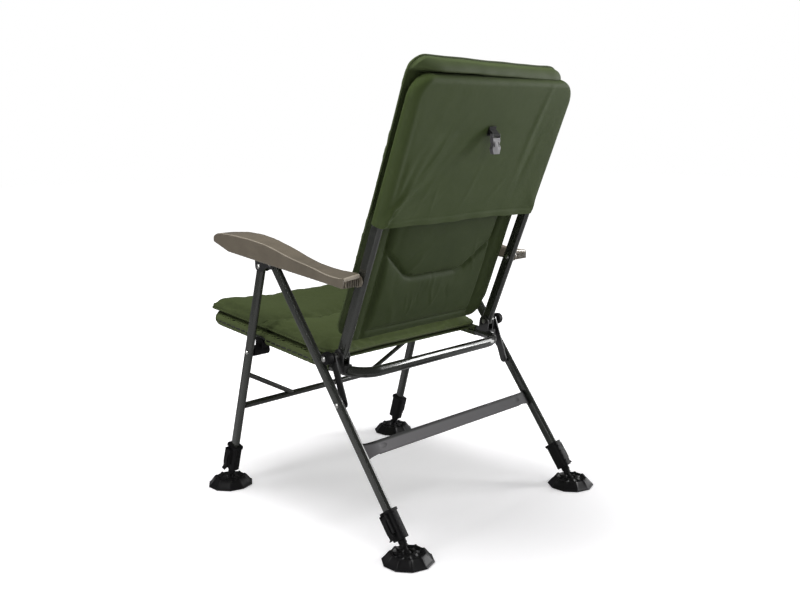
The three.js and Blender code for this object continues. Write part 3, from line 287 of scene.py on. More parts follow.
def ease(node, finish, width, steps=2):
    piece = copy_of(node, node + "_eased", finish)
    edges = piece.modifiers.new("eased edges", "BEVEL")
    edges.width = width
    edges.segments = steps
    edges.limit_method = "ANGLE"
    edges.angle_limit = math.radians(28)
    shade = piece.modifiers.new("even shade", "WEIGHTED_NORMAL")
    shade.keep_sharp = True
    apply_modifiers(piece)
    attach(piece, carrier[node])
    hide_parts(node)
    return piece


frame_paint = sprayed_paint("frame_paint", (0.019, 0.021, 0.017), rough=0.18)
dress(frame_paint, "back_top_bow")
for node in ("seat_front_bow", "seat_rear_bow", "front_cross_bar"):
    ease(node, frame_paint, tube_ease)
for side in ("left", "right"):
    for node in ("front_leg", "rear_leg", "front_brace", "back_rail"):
        ease(f"{node}_{side}", frame_paint, tube_ease)


# Rear cross bar: a wide flattened steel tube between the rear legs, sprayed with the frame. Its flat face
# is dull and painted paler, a painted highlight that grows towards the sitter's left; its long edges keep the dark
# paint.
bar_ease = 0.0022


def bar_highlight_paint():
    paint = Finish("bar_highlight_paint")
    cloud = paint.noise(14.0, 4.0)
    grain = paint.noise(260.0, 3.0, (0.1, 1, 1))
    low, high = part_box("rear_cross_bar")
    rise = (paint.along(2) - low.z) * (1 / (high.z - low.z))
    face = paint.ramp(rise, (0.10, 0.0), (0.19, 1.0), (0.81, 1.0), (0.90, 0.0))
    # Painted highlight: the face is paler towards the sitter's left (+x), mottled by the cloud.
    highlight_share = paint.along(0) * 1.9 + (cloud * 0.4 + 0.3)
    highlight_tone = paint.between(highlight_share, (0.040, 0.039, 0.041, 1), (0.125, 0.121, 0.126, 1))
    tone = paint.between(face, (0.016, 0.017, 0.016, 1), highlight_tone)
    return paint.surface({
        "Base Color": tone, "Roughness": cloud * 0.1 + 0.56, "Metallic": 0.25, "Specular IOR Level": 0.3,
        "Normal": paint.bump(grain, 0.08, 0.0003)})


ease("rear_cross_bar", bar_highlight_paint(), bar_ease, 3)


# Hinge plates, links and armrest brackets: pressed steel, cut and bent, sprayed satin black. The plates
# are welded to the seat frame, the brackets sit in the armrests, and the links turn on their rivets.
plate_paint = sprayed_paint("plate_paint", (0.010, 0.010, 0.010), rough=0.42)
dress(plate_paint, "hinge_bracket", "link", "armrest_bracket")


# Bolts, pins and rivets: turned steel with bright zinc plating and fine turning marks. They go through
# the tubes and plates that turn on them, with their heads outside.
def zinc_plate():
    zinc = Finish("bright_zinc")
    rings = zinc.noise(900.0, 1.0, (1, 0.2, 0.2))
    cloud = zinc.noise(160.0, 4.0)
    tone = zinc.between(cloud, (0.46, 0.46, 0.44, 1), (0.72, 0.72, 0.70, 1))
    return zinc.surface({
        "Base Color": tone, "Metallic": 1.0, "Roughness": cloud * 0.18 + 0.2,
        "Normal": zinc.bump(rings, 0.2, 0.0003)})


bright_zinc = zinc_plate()
dress(bright_zinc, "recline_bolt", "link_rivet", "seat_pivot_bolt")
dress(bright_zinc, "front_leg_rivet", "rear_leg_pin", "armrest_rivet")


# Clamps, levers, knobs and pivot blocks: black glass-filled nylon, satin with a fine grain; each is its
# solid with the edges eased, as a mould leaves them. The inner legs that slide in the clamps are as black.
clamp_ease = 0.0011
lever_ease = 0.0009
knob_ease = 0.0009
block_ease = 0.0012


def moulded_nylon(name, colour, rough, grain, coat, shine=0.4):
    nylon = Finish(name)
    cloud = nylon.noise(30.0, 3.0)
    fine = nylon.noise(1500.0, 2.0)
    tone = nylon.between(cloud, toned(colour, 0.8), toned(colour, 1.25))
    return nylon.surface({
        "Base Color": tone, "Roughness": cloud * 0.12 + rough, "Specular IOR Level": shine,
        "Coat Weight": coat, "Coat Roughness": 0.15, "Normal": nylon.bump(fine, grain, 0.0004)})


black_nylon = moulded_nylon("black_nylon", (0.0052, 0.0050, 0.0055), rough=0.50, grain=0.03, coat=0.0,
                            shine=0.2)
dress(black_nylon, "front_inner_leg", "rear_inner_leg")
for side in ("left", "right"):
    for end in ("front", "rear"):
        ease(f"{end}_leg_clamp_{side}", black_nylon, clamp_ease)
        ease(f"{end}_clamp_lever_{side}", black_nylon, lever_ease)
    ease(f"recline_knob_{side}", black_nylon, knob_ease)
    ease(f"seat_pivot_block_{side}", black_nylon, block_ease)


# Mud feet: wide black discs of ten straight sides, moulded in one piece and snapped on the leg's ball.
# Flat panels climb to a sharp crest, inside which a ribbed hollow leads down and up again to the collar.
foot_black = moulded_nylon("foot_black", (0.0050, 0.0048, 0.0053), rough=0.38, grain=0.06, coat=0.05,
                           shine=0.3)
foot_reach = 0.0570
foot_sides = 10
foot_spokes = 160
sole_inset_share = 0.95
rim_height = 0.0014
hollow_rib = 0.0036
panel_rib = 0.0022
rib_spread = 0.045
hollow_middle_share = 0.46
hollow_spread_share = 0.10
panel_middle_share = 0.70
panel_spread_share = 0.18
# The panels' and hollow's profile: shares of the reach, from the collar out, and the height at each.
profile_shares = (0.27, 0.33, 0.42, 0.50, 0.58, 0.63, 0.68, 0.74, 0.94, 1.0)
profile_heights = (0.0206, 0.0202, 0.0156, 0.0142, 0.0176, 0.0204, 0.0200, 0.0172, 0.0046, 0.0032)
# The collar's radii and heights, over its rounded lip and down inside it.
collar = ((0.0149, 0.0206), (0.0145, 0.0209), (0.0136, 0.0210), (0.0120, 0.0207), (0.0113, 0.0195),
          (0.0112, 0.012))


def grid_faces(rows, columns, start=0, close=False):
    faces = []
    for i in range(rows - 1):
        for j in range(columns if close else columns - 1):
            k = (j + 1) % columns
            a = start + i * columns
            b = a + columns
            faces.append((a + j, a + k, b + k, b + j))
    return faces


def end_faces(rows, columns):
    last = (rows - 1) * columns
    return [tuple(range(columns))[::-1], tuple(last + j for j in range(columns))]


def mesh_piece(name, points, faces, finish, body, slot):
    mesh = bpy.data.meshes.new(name)
    mesh.from_pydata([tuple(point) for point in points], [], faces)
    mesh.validate()
    shape = bmesh.new()
    shape.from_mesh(mesh)
    bmesh.ops.remove_doubles(shape, verts=shape.verts, dist=1e-6)
    bmesh.ops.recalc_face_normals(shape, faces=shape.faces)
    shape.to_mesh(mesh)
    shape.free()
    shade_smooth(mesh)
    mesh.materials.append(finish)
    piece = bpy.data.objects.new(name, mesh)
    link(piece)
    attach(piece, body)
    return piece


def ring_at(radius, turn, height):
    return np.stack([radius * np.cos(turn), radius * np.sin(turn), 0 * turn + height], -1)


def foot_form():
    half_side = math.pi / foot_sides
    turn = np.linspace(0, 2 * math.pi, foot_spokes, endpoint=False) + half_side
    from_corner = np.abs(turn % (2 * half_side) - half_side)
    outline = foot_reach * math.cos(half_side) / np.cos(half_side - from_corner)
    rings = [ring_at(outline * sole_inset_share, turn, 0), ring_at(outline, turn, rim_height)]
    panel_shares = np.linspace(1.0, 0.70, 8)
    crest_shares = np.linspace(0.68, 0.54, 10)
    hollow_shares = np.linspace(0.52, 0.27, 18)
    for share in np.concatenate([panel_shares, crest_shares, hollow_shares]):
        rib = np.exp(-(from_corner / (rib_spread / share)) ** 1.6)
        in_hollow = hollow_rib * np.exp(-((share - hollow_middle_share) / hollow_spread_share) ** 2)
        on_panel = panel_rib * np.exp(-((share - panel_middle_share) / panel_spread_share) ** 2)
        climb = np.interp(share, profile_shares, profile_heights)
        rings.append(ring_at(outline * share, turn, climb + rib * (in_hollow + on_panel)))
    rings += [ring_at(radius, turn, height) for radius, height in collar]
    faces = grid_faces(len(rings), foot_spokes, close=True) + end_faces(len(rings), foot_spokes)
    return np.concatenate(rings), faces


foot_points, foot_faces = foot_form()
for side in ("left", "right"):
    for end in ("front", "rear"):
        low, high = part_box(f"{end}_foot_{side}")
        middle = ((low.x + high.x) / 2, (low.y + high.y) / 2, 0)
        foot = mesh_piece(f"{end}_mud_foot_{side}", foot_points + middle, foot_faces, foot_black,
                          f"{end}_foot_{side}", "foot_rubber")
        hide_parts(f"{end}_foot_{side}")


# Strap and buckle on the back: a short black polyester webbing sewn to the pocket, and a side-release
# clip of acetal that swings from it, waisted where the fingers squeeze it. The clip is drawn grey, a painted
# glare of the lamps on its glossy dark face.
clip_ease = 0.0006
waist_depth_share = 0.26
waist_place_share = 0.52
waist_spread_share = 0.16


def points_of(piece):
    flat = np.empty(len(piece.data.vertices) * 3)
    piece.data.vertices.foreach_get("co", flat)
    return flat.reshape(-1, 3)


def put_points(piece, points):
    piece.data.vertices.foreach_set("co", np.asarray(points, float).reshape(-1))
    piece.data.update()


def webbing():
    web = Finish("black_webbing")
    ribs = web.bands("Z", 420.0)
    cloud = web.noise(60.0, 3.0)
    tone = web.between(ribs * 0.6 + cloud * 0.4, (0.004, 0.004, 0.004, 1), (0.012, 0.012, 0.012, 1))
    return web.surface({
        "Base Color": tone, "Roughness": cloud * 0.1 + 0.7, "Normal": web.bump(ribs, 0.4, 0.0006)})


dress(webbing(), "buckle_strap")
# Grey as a painted glare of the lamps on the clip's glossy dark face.
painted_glare_acetal = moulded_nylon("painted_glare_acetal", (0.120, 0.115, 0.125), rough=0.26, grain=0.1, coat=0.6)
clip = ease("buckle", painted_glare_acetal, clip_ease)
local = points_of(clip)
up_share = (local[:, 2] - local[:, 2].min()) / np.ptp(local[:, 2])
waist = np.exp(-((up_share - waist_place_share) / waist_spread_share) ** 2)
local[:, 0] *= 1 - waist_depth_share * waist
put_points(clip, local)


# Armrests: taupe moulded shells, ribbed underneath, with a satin grain, pinned to the legs and rails. The
# top slopes to a crisp outer edge that runs back to a rounded lip, with ribs in the open end below it.
# The bead along the outer edge and the lip are a paler taupe, a painted highlight, and a black plate
# behind the ribs is painted shade in the hollow.
taupe = moulded_nylon("armrest_taupe", (0.118, 0.100, 0.074), rough=0.32, grain=0.12, coat=0.45)
# A paler taupe for the bead along the outer top edge and for the rear lip: a painted highlight.
taupe_highlight = moulded_nylon("armrest_highlight", (0.300, 0.265, 0.215), rough=0.24, grain=0.05, coat=0.6)
shell_ease = 0.0020
shell_voxel = 0.0017
shell_slice = 0.008
slope_start = 0.266
outer_wall = 0.3100
edge_slice = 0.004
edge_across = 0.3106
edge_front = -0.266
edge_rear = 0.184
edge_drop = 0.0011
edge_radius = 0.0013
lip_radius = 0.0048
lip_start = 0.267
lip_inner = 0.2675
lip_outer = 0.3095
lip_along = 0.1882
lip_height = 0.5866
lip_fall_share = 0.12
slot_inner = 0.2715
slot_outer = 0.3080
end_shade_along = (0.1885, 0.1913)
end_shade_heights = (0.5650, 0.5800)
slot_chamfer = 0.0004
chamfer_rise = 0.0005
rib_half = 0.0008
rib_count = 8
rib_along = (0.1895, 0.1938)
rib_heights = (0.5648, 0.5802)
# How far the top drops at each place along the chair, at the shell's outer and inner side.
outer_drop = ((-0.25, 0.002), (-0.18, 0.010), (-0.10, 0.018), (-0.01, 0.021), (0.04, 0.016), (0.08, 0.011),
              (0.135, 0.012), (0.175, 0.010), (0.19, 0.007))
inner_drop = ((-0.20, 0.002), (-0.14, 0.006), (-0.07, 0.014), (0.02, 0.016), (0.06, 0.014), (0.10, 0.009),
              (0.15, 0.003), (0.19, 0.000))


def tube_rings(path, along, out, radius, sides):
    out = out / np.linalg.norm(out, axis=1, keepdims=True)
    third = np.cross(along, out)
    turn = np.linspace(0, 2 * math.pi, sides, endpoint=False)
    circle = np.cos(turn)[None, :, None] * out[:, None] + np.sin(turn)[None, :, None] * third[:, None]
    return (path[:, None] + radius * circle).reshape(-1, 3)


def bead_form(path, radius, sides=10):
    path = np.asarray(path, float)
    along = np.gradient(path, axis=0)
    along /= np.linalg.norm(along, axis=1, keepdims=True)
    points = tube_rings(path, along, np.cross(along, (0.02, 0.01, 1.0)), radius, sides)
    return points, grid_faces(len(path), sides, close=True) + end_faces(len(path), sides)


def slope_armrest(shell):
    local = points_of(shell)
    across = np.abs(local[:, 0])
    out_share = np.clip((across - slope_start) / (across.max() - slope_start), 0, 1)
    spots = np.linspace(local[:, 1].min(), local[:, 1].max(), 60)
    near = [local[np.abs(local[:, 1] - spot) < shell_slice, 2] for spot in spots]
    low = np.interp(local[:, 1], spots, [heights.min() for heights in near])
    top = np.interp(local[:, 1], spots, [heights.max() for heights in near])
    rise = np.clip((local[:, 2] - low) / np.maximum(top - low, 1e-4), 0, 1)
    inner, outer = (np.interp(local[:, 1], *zip(*drop)) for drop in (inner_drop, outer_drop))
    local[:, 2] -= rise * (inner + (outer - inner) * out_share ** 1.4)
    put_points(shell, local)


def outer_edge(shell):
    local = points_of(shell)
    outer = local[np.abs(local[:, 0]) > outer_wall]
    spots = np.linspace(edge_front, edge_rear, 90)
    rise = np.array([outer[np.abs(outer[:, 1] - spot) < edge_slice, 2].max() for spot in spots])
    rise[4:-4] = np.convolve(rise, np.ones(9) / 9, "valid")
    across = np.sign(local[0, 0]) * np.full(len(spots), edge_across)
    return np.stack([across, spots, rise - edge_drop], -1)


def block_form(spans):
    points = []
    faces = []
    for (x0, x1), (y0, y1), (z0, z1) in spans:
        start = len(points)
        levels = ((z0, slot_chamfer), (z0 + chamfer_rise, 0.0), (z1 - chamfer_rise, 0.0), (z1, slot_chamfer))
        for z, inset in levels:
            points += [(x0 + inset, y0, z), (x1 - inset, y0, z),
                       (x1 - inset, y1 - inset, z), (x0 + inset, y1 - inset, z)]
        faces += grid_faces(4, 4, start, True)
        faces += [(start + 3, start + 2, start + 1, start), tuple(start + 12 + j for j in range(4))]
    return points, faces


for side, sign in (("left", 1), ("right", -1)):
    shell = ease(f"armrest_{side}", taupe, shell_ease, 3)
    skin = shell.modifiers.new("skin", "REMESH")
    skin.mode = "VOXEL"
    skin.voxel_size = shell_voxel
    apply_modifiers(shell)
    slope_armrest(shell)
    relax = shell.modifiers.new("relax", "SMOOTH")
    relax.iterations = 5
    apply_modifiers(shell)
    edge_form = bead_form(outer_edge(shell), edge_radius)
    mesh_piece(f"armrest_highlight_{side}", *edge_form, taupe_highlight, "armrests", "armrest")
    lip = [(sign * x, lip_along, lip_height - lip_fall_share * (x - lip_start))
           for x in np.linspace(lip_inner, lip_outer, 14)]
    mesh_piece(f"armrest_lip_{side}", *bead_form(lip, lip_radius, 14), taupe_highlight, "armrests", "armrest")
    low, high = sorted((sign * slot_inner, sign * slot_outer))
    end_shade_form = block_form([((low, high), end_shade_along, end_shade_heights)])
    rib_form = block_form([((x - rib_half, x + rib_half), rib_along, rib_heights)
                           for x in np.linspace(low, high, rib_count)])
    # The black plate behind the ribs is painted shade in the hollow of the open end.
    for name, form, finish in (("slot", end_shade_form, black_nylon), ("ribs", rib_form, taupe)):
        made = mesh_piece(f"armrest_{name}_{side}", *form, finish, "armrests", "armrest")
        for face in made.data.polygons:
            face.use_smooth = False


# Seat cushion: a foam pad in a sewn cover of coated dark green polyester, plain woven, with a dull sheen.
# It has one seam across it, hangs forward at the sides and is piped at its edge, and it lies on the
# stretched seat cover.
seat_tilt = 6.2
seat_ahead = 0.274
seat_rise = 0.0098
seat_seam = 0.020
seam_spread = 0.03
pucker_spread = 0.006
piping_radius = 0.0026
weave_scale = 260.0
# The seat and the back are drawn flat, with the recline pivot as the origin, and then tilted.
pivot = Vector(next(joint["pos_m"] for joint in frame["joints"] if joint["name"] == "backrest_fold"))


def woven_cloth(name, lit, deep, painted_shade_line=None):
    cloth = Finish(name)
    cloud = cloth.noise(3.2, 4.0)
    fade = cloth.ramp(cloth.noise(22.0, 5.0), (0.35, 0.0), (0.7, 1.0))
    thread = cloth.bands("X", weave_scale) * cloth.bands("Z", weave_scale)
    tone = cloth.between(cloud * 0.7 + fade * 0.3, toned(deep), toned(lit))
    tone = cloth.between(thread * 0.25, tone, toned(deep, 0.72))
    # In front of the given line along Y the cloth is painted darker: painted shade on the seat's front panel.
    if painted_shade_line is not None:
        ahead = cloth.along(1) * -4.0 + (0.5 + painted_shade_line * 4.0)
        front = cloth.ramp(ahead, (0.47, 0.0), (0.53, 1.0))
        tone = cloth.between(front * 0.20, tone, toned(deep, 0.22))
    crumple = cloth.noise(60.0, 4.0)
    return cloth.surface({
        "Base Color": tone, "Roughness": crumple * 0.12 + 0.6, "Specular IOR Level": 0.22,
        "Sheen Weight": 0.03, "Sheen Roughness": 0.4, "Sheen Tint": (0.6, 0.8, 0.4, 1),
        "Normal": cloth.bump(thread * 0.2 + crumple, 0.2, 0.0022)})


def turned(points, degrees):
    angle = math.radians(degrees)
    flat = np.asarray(points, float)
    out = np.empty_like(flat)
    out[..., 0] = flat[..., 0]
    out[..., 1] = flat[..., 1] * math.cos(angle) + flat[..., 2] * math.sin(angle) + pivot.y
    out[..., 2] = -flat[..., 1] * math.sin(angle) + flat[..., 2] * math.cos(angle) + pivot.z
    return out


def piping_form(path, sides=10):
    along = np.roll(path, -1, 0) - np.roll(path, 1, 0)
    along /= np.linalg.norm(along, axis=1, keepdims=True)
    out = path - path.mean(0)
    out -= along * (out * along).sum(1, keepdims=True)
    faces = grid_faces(len(path), sides, close=True)
    last = (len(path) - 1) * sides
    faces += [(last + j, last + (j + 1) % sides, (j + 1) % sides, j) for j in range(sides)]
    return tube_rings(path, along, out, piping_radius, sides), faces


def ripple(x, z, seed, size):
    waves = 14
    rng = np.random.default_rng(seed)
    total = np.zeros_like(x)
    for _ in range(waves):
        turn, phase = rng.uniform(0, 2 * math.pi, 2)
        pitch = rng.uniform(0.6, 1.6)
        run = x * math.cos(turn) + z * math.sin(turn)
        total += np.sin(run * 2 * math.pi * pitch / size + phase) / waves
    return total


def creases(x, z, seed, count, area, length, width, height, lean=None):
    rng = np.random.default_rng(seed)
    total = np.zeros_like(x)
    for _ in range(count):
        middle_x = rng.uniform(area[0], area[1])
        middle_z = rng.uniform(area[2], area[3])
        turn = rng.uniform(0, math.pi) if lean is None else math.radians(lean + rng.normal(0, 16))
        long, wide, tall = (rng.uniform(0.5, 1.3) * size for size in (length, width, height))
        bow = rng.normal(0, 1.2)
        along = (x - middle_x) * math.cos(turn) + (z - middle_z) * math.sin(turn)
        off = -(x - middle_x) * math.sin(turn) + (z - middle_z) * math.cos(turn) + bow * along ** 2
        total += rng.choice((-0.7, 1.0)) * tall * np.exp(-(off / wide) ** 2 - (along / long) ** 2)
    return total


# A pad's form has a flat rear, an outer seam, and a crowned front that dips to each stitched seam. The
# cover is then swelled by air while its seams are held.
def pad_form(width, height, front, rear, draw_in, seams=(), dip_share=0, corner=0.04, toe_share=0, sag=0,
             columns=96, pitch=0.0058, blunt=6):
    stops = [-1.0, *seams, 1.0]
    rows = [-1.0]
    for low, high in zip(stops, stops[1:]):
        count = round((high - low) * height / 2 / pitch)
        rows += list(low + (high - low) * (0.5 - 0.5 * np.cos(np.linspace(0, math.pi, count + 1)))[1:])
    even = np.linspace(-1, 1, columns + 1)
    across = 0.6 * even + 0.4 * np.sin(even * math.pi / 2)
    u, v = np.meshgrid(across, rows)
    near_x = np.maximum(0, 1 - (1 - np.abs(u)) * width / 2 / corner)
    near_z = np.maximum(0, 1 - (1 - np.abs(v)) * height / 2 / corner)
    tuck = np.maximum(0, np.hypot(near_x, near_z) - 1) * 0.7 * corner
    x = u * (width / 2 - draw_in * (1 - v * v) * np.abs(u) - tuck)
    hang = sag * np.maximum(0, 2 * np.abs(u) - 1) * (1 - v * v)
    z = v * (height / 2 - draw_in * (1 - u * u) * np.abs(v) - tuck) - hang
    edge = np.sqrt(np.clip((1 - np.abs(u) ** blunt) * (1 - np.abs(v) ** blunt), 0, 1))
    dip = np.zeros_like(v)
    held = np.zeros_like(u)
    for before, seam, after in zip(stops, stops[1:], stops[2:]):
        span = np.where(v < seam, seam - before, after - seam) / 2
        close = np.maximum(0, 1 - np.abs(v - seam) / span)
        dip = np.maximum(dip, 1 - np.sqrt(1 - close ** 4))
        held = np.maximum(held, np.abs(v - seam) < 1e-9)
    slim = np.minimum(1, toe_share + (1 - toe_share) * (v + 1) / 0.5) if toe_share else 1
    crown = np.stack([x, -front * edge * (1 - dip_share * dip) * slim, z], -1)
    back = np.stack([x, rear * edge, z], -1)
    held = np.maximum(held, (edge < 1e-3) * 1.0)
    faces = grid_faces(len(rows), columns + 1) + grid_faces(len(rows), columns + 1, u.size)
    rim = np.concatenate([crown[0], crown[1:, -1], crown[-1, -2::-1], crown[-2:0:-1, 0]])
    return np.concatenate([crown.reshape(-1, 3), back.reshape(-1, 3)]), faces, held.reshape(-1), rim


def swell(piece, held, pressure=2.6, excess=0.03, cap=0.007):
    start = points_of(piece)
    pins = piece.vertex_groups.new(name="stitched")
    pins.add([int(i) for i in np.nonzero(held)[0]], 1.0, "REPLACE")
    settings = piece.modifiers.new("cover", "CLOTH").settings
    settings.quality = 4
    settings.mass = 0.2
    settings.tension_stiffness = 20
    settings.compression_stiffness = 10
    settings.bending_stiffness = 0.25
    settings.vertex_group_mass = "stitched"
    settings.pin_stiffness = 1.0
    settings.shrink_min = -excess
    settings.use_pressure = True
    settings.uniform_pressure_force = pressure
    settings.effector_weights.gravity = 0
    for step in range(1, 19):
        bpy.context.scene.frame_set(step)
    graph = bpy.context.evaluated_depsgraph_get()
    swollen = piece.evaluated_get(graph).to_mesh()
    moved = np.array([vertex.co for vertex in swollen.vertices])
    piece.evaluated_get(graph).to_mesh_clear()
    piece.modifiers.clear()
    piece.vertex_groups.clear()
    bpy.context.scene.frame_set(1)
    travel = moved - start
    length = np.linalg.norm(travel, axis=1, keepdims=True)
    put_points(piece, start + travel * cap * np.tanh(length / cap) / np.maximum(length, 1e-9))


def make_pad(name, form, finish, body, place, shape_cover):
    points, faces, held, rim = form
    mesh = bpy.data.meshes.new(name)
    mesh.from_pydata([tuple(point) for point in points], [], faces)
    cover = bpy.data.objects.new(name, mesh)
    link(cover)
    shape = bmesh.new()
    shape.from_mesh(mesh)
    half = len(points) // 2
    marks = shape.verts.layers.int.new("held")
    for i, vertex in enumerate(shape.verts):
        vertex[marks] = int(held[i]) if i < half else 1 + int(points[i, 1] > 1e-6)
    bmesh.ops.remove_doubles(shape, verts=shape.verts, dist=1e-6)
    bmesh.ops.recalc_face_normals(shape, faces=shape.faces)
    kept = np.array([vertex[marks] for vertex in shape.verts])
    shape.verts.layers.int.remove(marks)
    shape.to_mesh(mesh)
    shape.free()
    swell(cover, kept)
    put_points(cover, shape_cover(points_of(cover), kept))
    smooth = cover.modifiers.new("round", "SUBSURF")
    smooth.levels = smooth.render_levels = 1
    apply_modifiers(cover)
    skin = [tuple(face.vertices) for face in cover.data.polygons]
    cover_points = points_of(cover)
    bpy.data.objects.remove(cover)
    piping_points, piping_faces = piping_form(shape_cover(rim, np.ones(len(rim))))
    total = len(cover_points)
    every = np.concatenate([cover_points, piping_points])
    faces = skin + [tuple(i + total for i in face) for face in piping_faces]
    return mesh_piece(name, place(every), faces, finish, body, "cushion")


def lay_on_seat(points):
    flat = np.stack([points[:, 0], points[:, 2] - seat_ahead, -points[:, 1] - seat_rise], -1)
    return turned(flat, seat_tilt)


def rumple_seat(points, kept):
    x, z = points[:, 0], points[:, 2]
    free = (kept == 0) * 1.0
    seam = np.exp(-np.abs(z - seat_seam + 0.004 * np.sin(x * 19)) / seam_spread)
    gather = np.sin(x * 2 * math.pi / 0.027 + 2 * np.sin(x * 23))
    puckers = 0.0011 * seam * gather * np.tanh(np.abs(z - seat_seam) / pucker_spread)
    hang = 0.06 * np.maximum(0, np.abs(x) / 0.127 - 1)
    rim = np.minimum(0.25 - np.abs(x), 0.246 - np.abs(z + hang))
    welt = 0.0030 * np.exp(-((rim - 0.014) / 0.0045) ** 2)
    folds = creases(x, z, 4, 46, (-0.25, 0.25, -0.24, 0.24), 0.045, 0.006, 0.0016)
    moved = points.copy()
    moved[:, 1] += free * (welt + puckers - folds - 0.0018 * ripple(x, z, 3, 0.11))
    moved[:, 2] += 0.0022 * ripple(x, 0 * x, 8, 0.16) * (np.abs(z) / 0.25) ** 4
    moved[:, 0] += 0.0018 * ripple(0 * z, z, 9, 0.14) * (np.abs(x) / 0.25) ** 4
    return moved


# The seat cloth is painted darker in front of Y = -0.150, a painted shade on the front panel.
seat_cloth = woven_cloth("seat_cloth", (0.055, 0.071, 0.026), (0.044, 0.058, 0.020), painted_shade_line=-0.150)
seat_form = pad_form(width=0.506, height=0.496, front=0.020, rear=0.009, draw_in=0.004, seams=[0.08],
                     dip_share=0.5, corner=0.040, sag=0.06, blunt=14)
seat_pad = make_pad("seat_pad", seat_form, seat_cloth, "seat_frame", lay_on_seat, rumple_seat)
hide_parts("seat_cushion")
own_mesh(seat_pad)


# Back cushion: the long foam pad in front of the rails, sewn in the same green cloth in three panels, thin
# at its toe and piped all round. It hangs on the backrest, and its top edge swells back over the pocket.
back_tilt = 22.3
back_ahead = 0.0335
back_middle = 0.352
back_seams = (-0.0978, 0.0766)
crest_swell = 0.036
crest_from = 0.2950
crest_middle = 0.3020
crest_reach = 0.0245


def stand_on_back(points):
    return turned(points + (0, -back_ahead, back_middle), back_tilt)


def rumple_back(points, kept):
    x, z = points[:, 0], points[:, 2]
    free, rear = (kept == 0) * 1.0, (kept == 2) * 1.0
    moved = points.copy()
    puckers = 0 * x
    for seam in back_seams:
        near = np.exp(-np.abs(z - seam) / seam_spread) * np.tanh(np.abs(z - seam) / pucker_spread)
        puckers += 0.0012 * near * np.sin(x * 2 * math.pi / 0.029 + 2 * np.sin(x * 21 + seam * 40))
    folds = creases(x, z, 6, 60, (-0.25, 0.25, -0.32, 0.32), 0.05, 0.006, 0.0016)
    moved[:, 1] += free * (puckers - folds - 0.002 * ripple(x, z, 5, 0.12))
    onset = np.clip((z - crest_from) / 0.005, 0, 1) ** 1.5
    lift = onset * np.sqrt(np.clip(1 - ((z - crest_middle) / crest_reach) ** 2, 0, 1))
    ends = np.sin(0.5 * math.pi * np.clip((0.258 - np.abs(x)) / 0.075, 0, 1)) ** 0.8
    moved[:, 1] += rear * ends * crest_swell * lift * (1 + 0.10 * ripple(x, z, 12, 0.09))
    top = np.clip((z - 0.20) / 0.10, 0, 1)
    slump = 0.010 * np.clip((0.10 - x) / 0.35, 0, 1) ** 1.3
    droop = 0.012 * np.clip((-x - 0.185) / 0.07, 0, 1) ** 2
    moved[:, 2] -= top * (slump + droop)
    rim = np.maximum(np.abs(x) / 0.25, np.abs(z) / 0.326)
    moved[:, 0] += 0.0022 * ripple(0 * z, z, 14, 0.13) * rim ** 6 * (np.abs(x) > 0.2)
    moved[:, 2] += 0.0024 * ripple(x, 0 * x, 15, 0.12) * rim ** 6 * (z > 0.25)
    return moved


pad_cloth = woven_cloth("pad_cloth", (0.062, 0.083, 0.031), (0.048, 0.066, 0.023))
back_form = pad_form(width=0.510, height=0.652, front=0.026, rear=0.006, draw_in=0.005, seams=[-0.3, 0.235],
                     dip_share=0.5, corner=0.046, toe_share=0.3)
back_pad = make_pad("back_pad", back_form, pad_cloth, "backrest", stand_on_back, rumple_back)
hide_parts("back_cushion")
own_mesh(back_pad)


# Rear cover of the backrest: lightly quilted cloth sewn to the rear of the back cushion, with a fold down
# each side, a lumbar piece sewn in with a trapezoid seam and a hem seam along the bottom.
cover_thick = 0.0045
cover_ahead = 0.0227
cover_middle = 0.328
hem_line = 0.035
fold_deep = 0.0078
seam_deep = 0.0066
hem_sunk = 0.0036
side_fold = [(0.186, 0.015), (0.181, 0.14), (0.182, 0.245), (0.188, 0.64)]
lumbar_seam = [(-0.184, 0.330), (-0.183, 0.243), (-0.098, 0.172), (-0.075, 0.164), (0.075, 0.164),
               (0.098, 0.172), (0.183, 0.243), (0.184, 0.330)]


def seam_dip(x, z, path, width):
    nearest = np.full_like(x, 9.0)
    for (ax, az), (bx, bz) in zip(path, path[1:]):
        run = np.array([bx - ax, bz - az])
        share = np.clip(((x - ax) * run[0] + (z - az) * run[1]) / (run @ run), 0, 1)
        nearest = np.minimum(nearest, np.hypot(x - ax - share * run[0], z - az - share * run[1]))
    return np.exp(-(nearest / width) ** 2), nearest


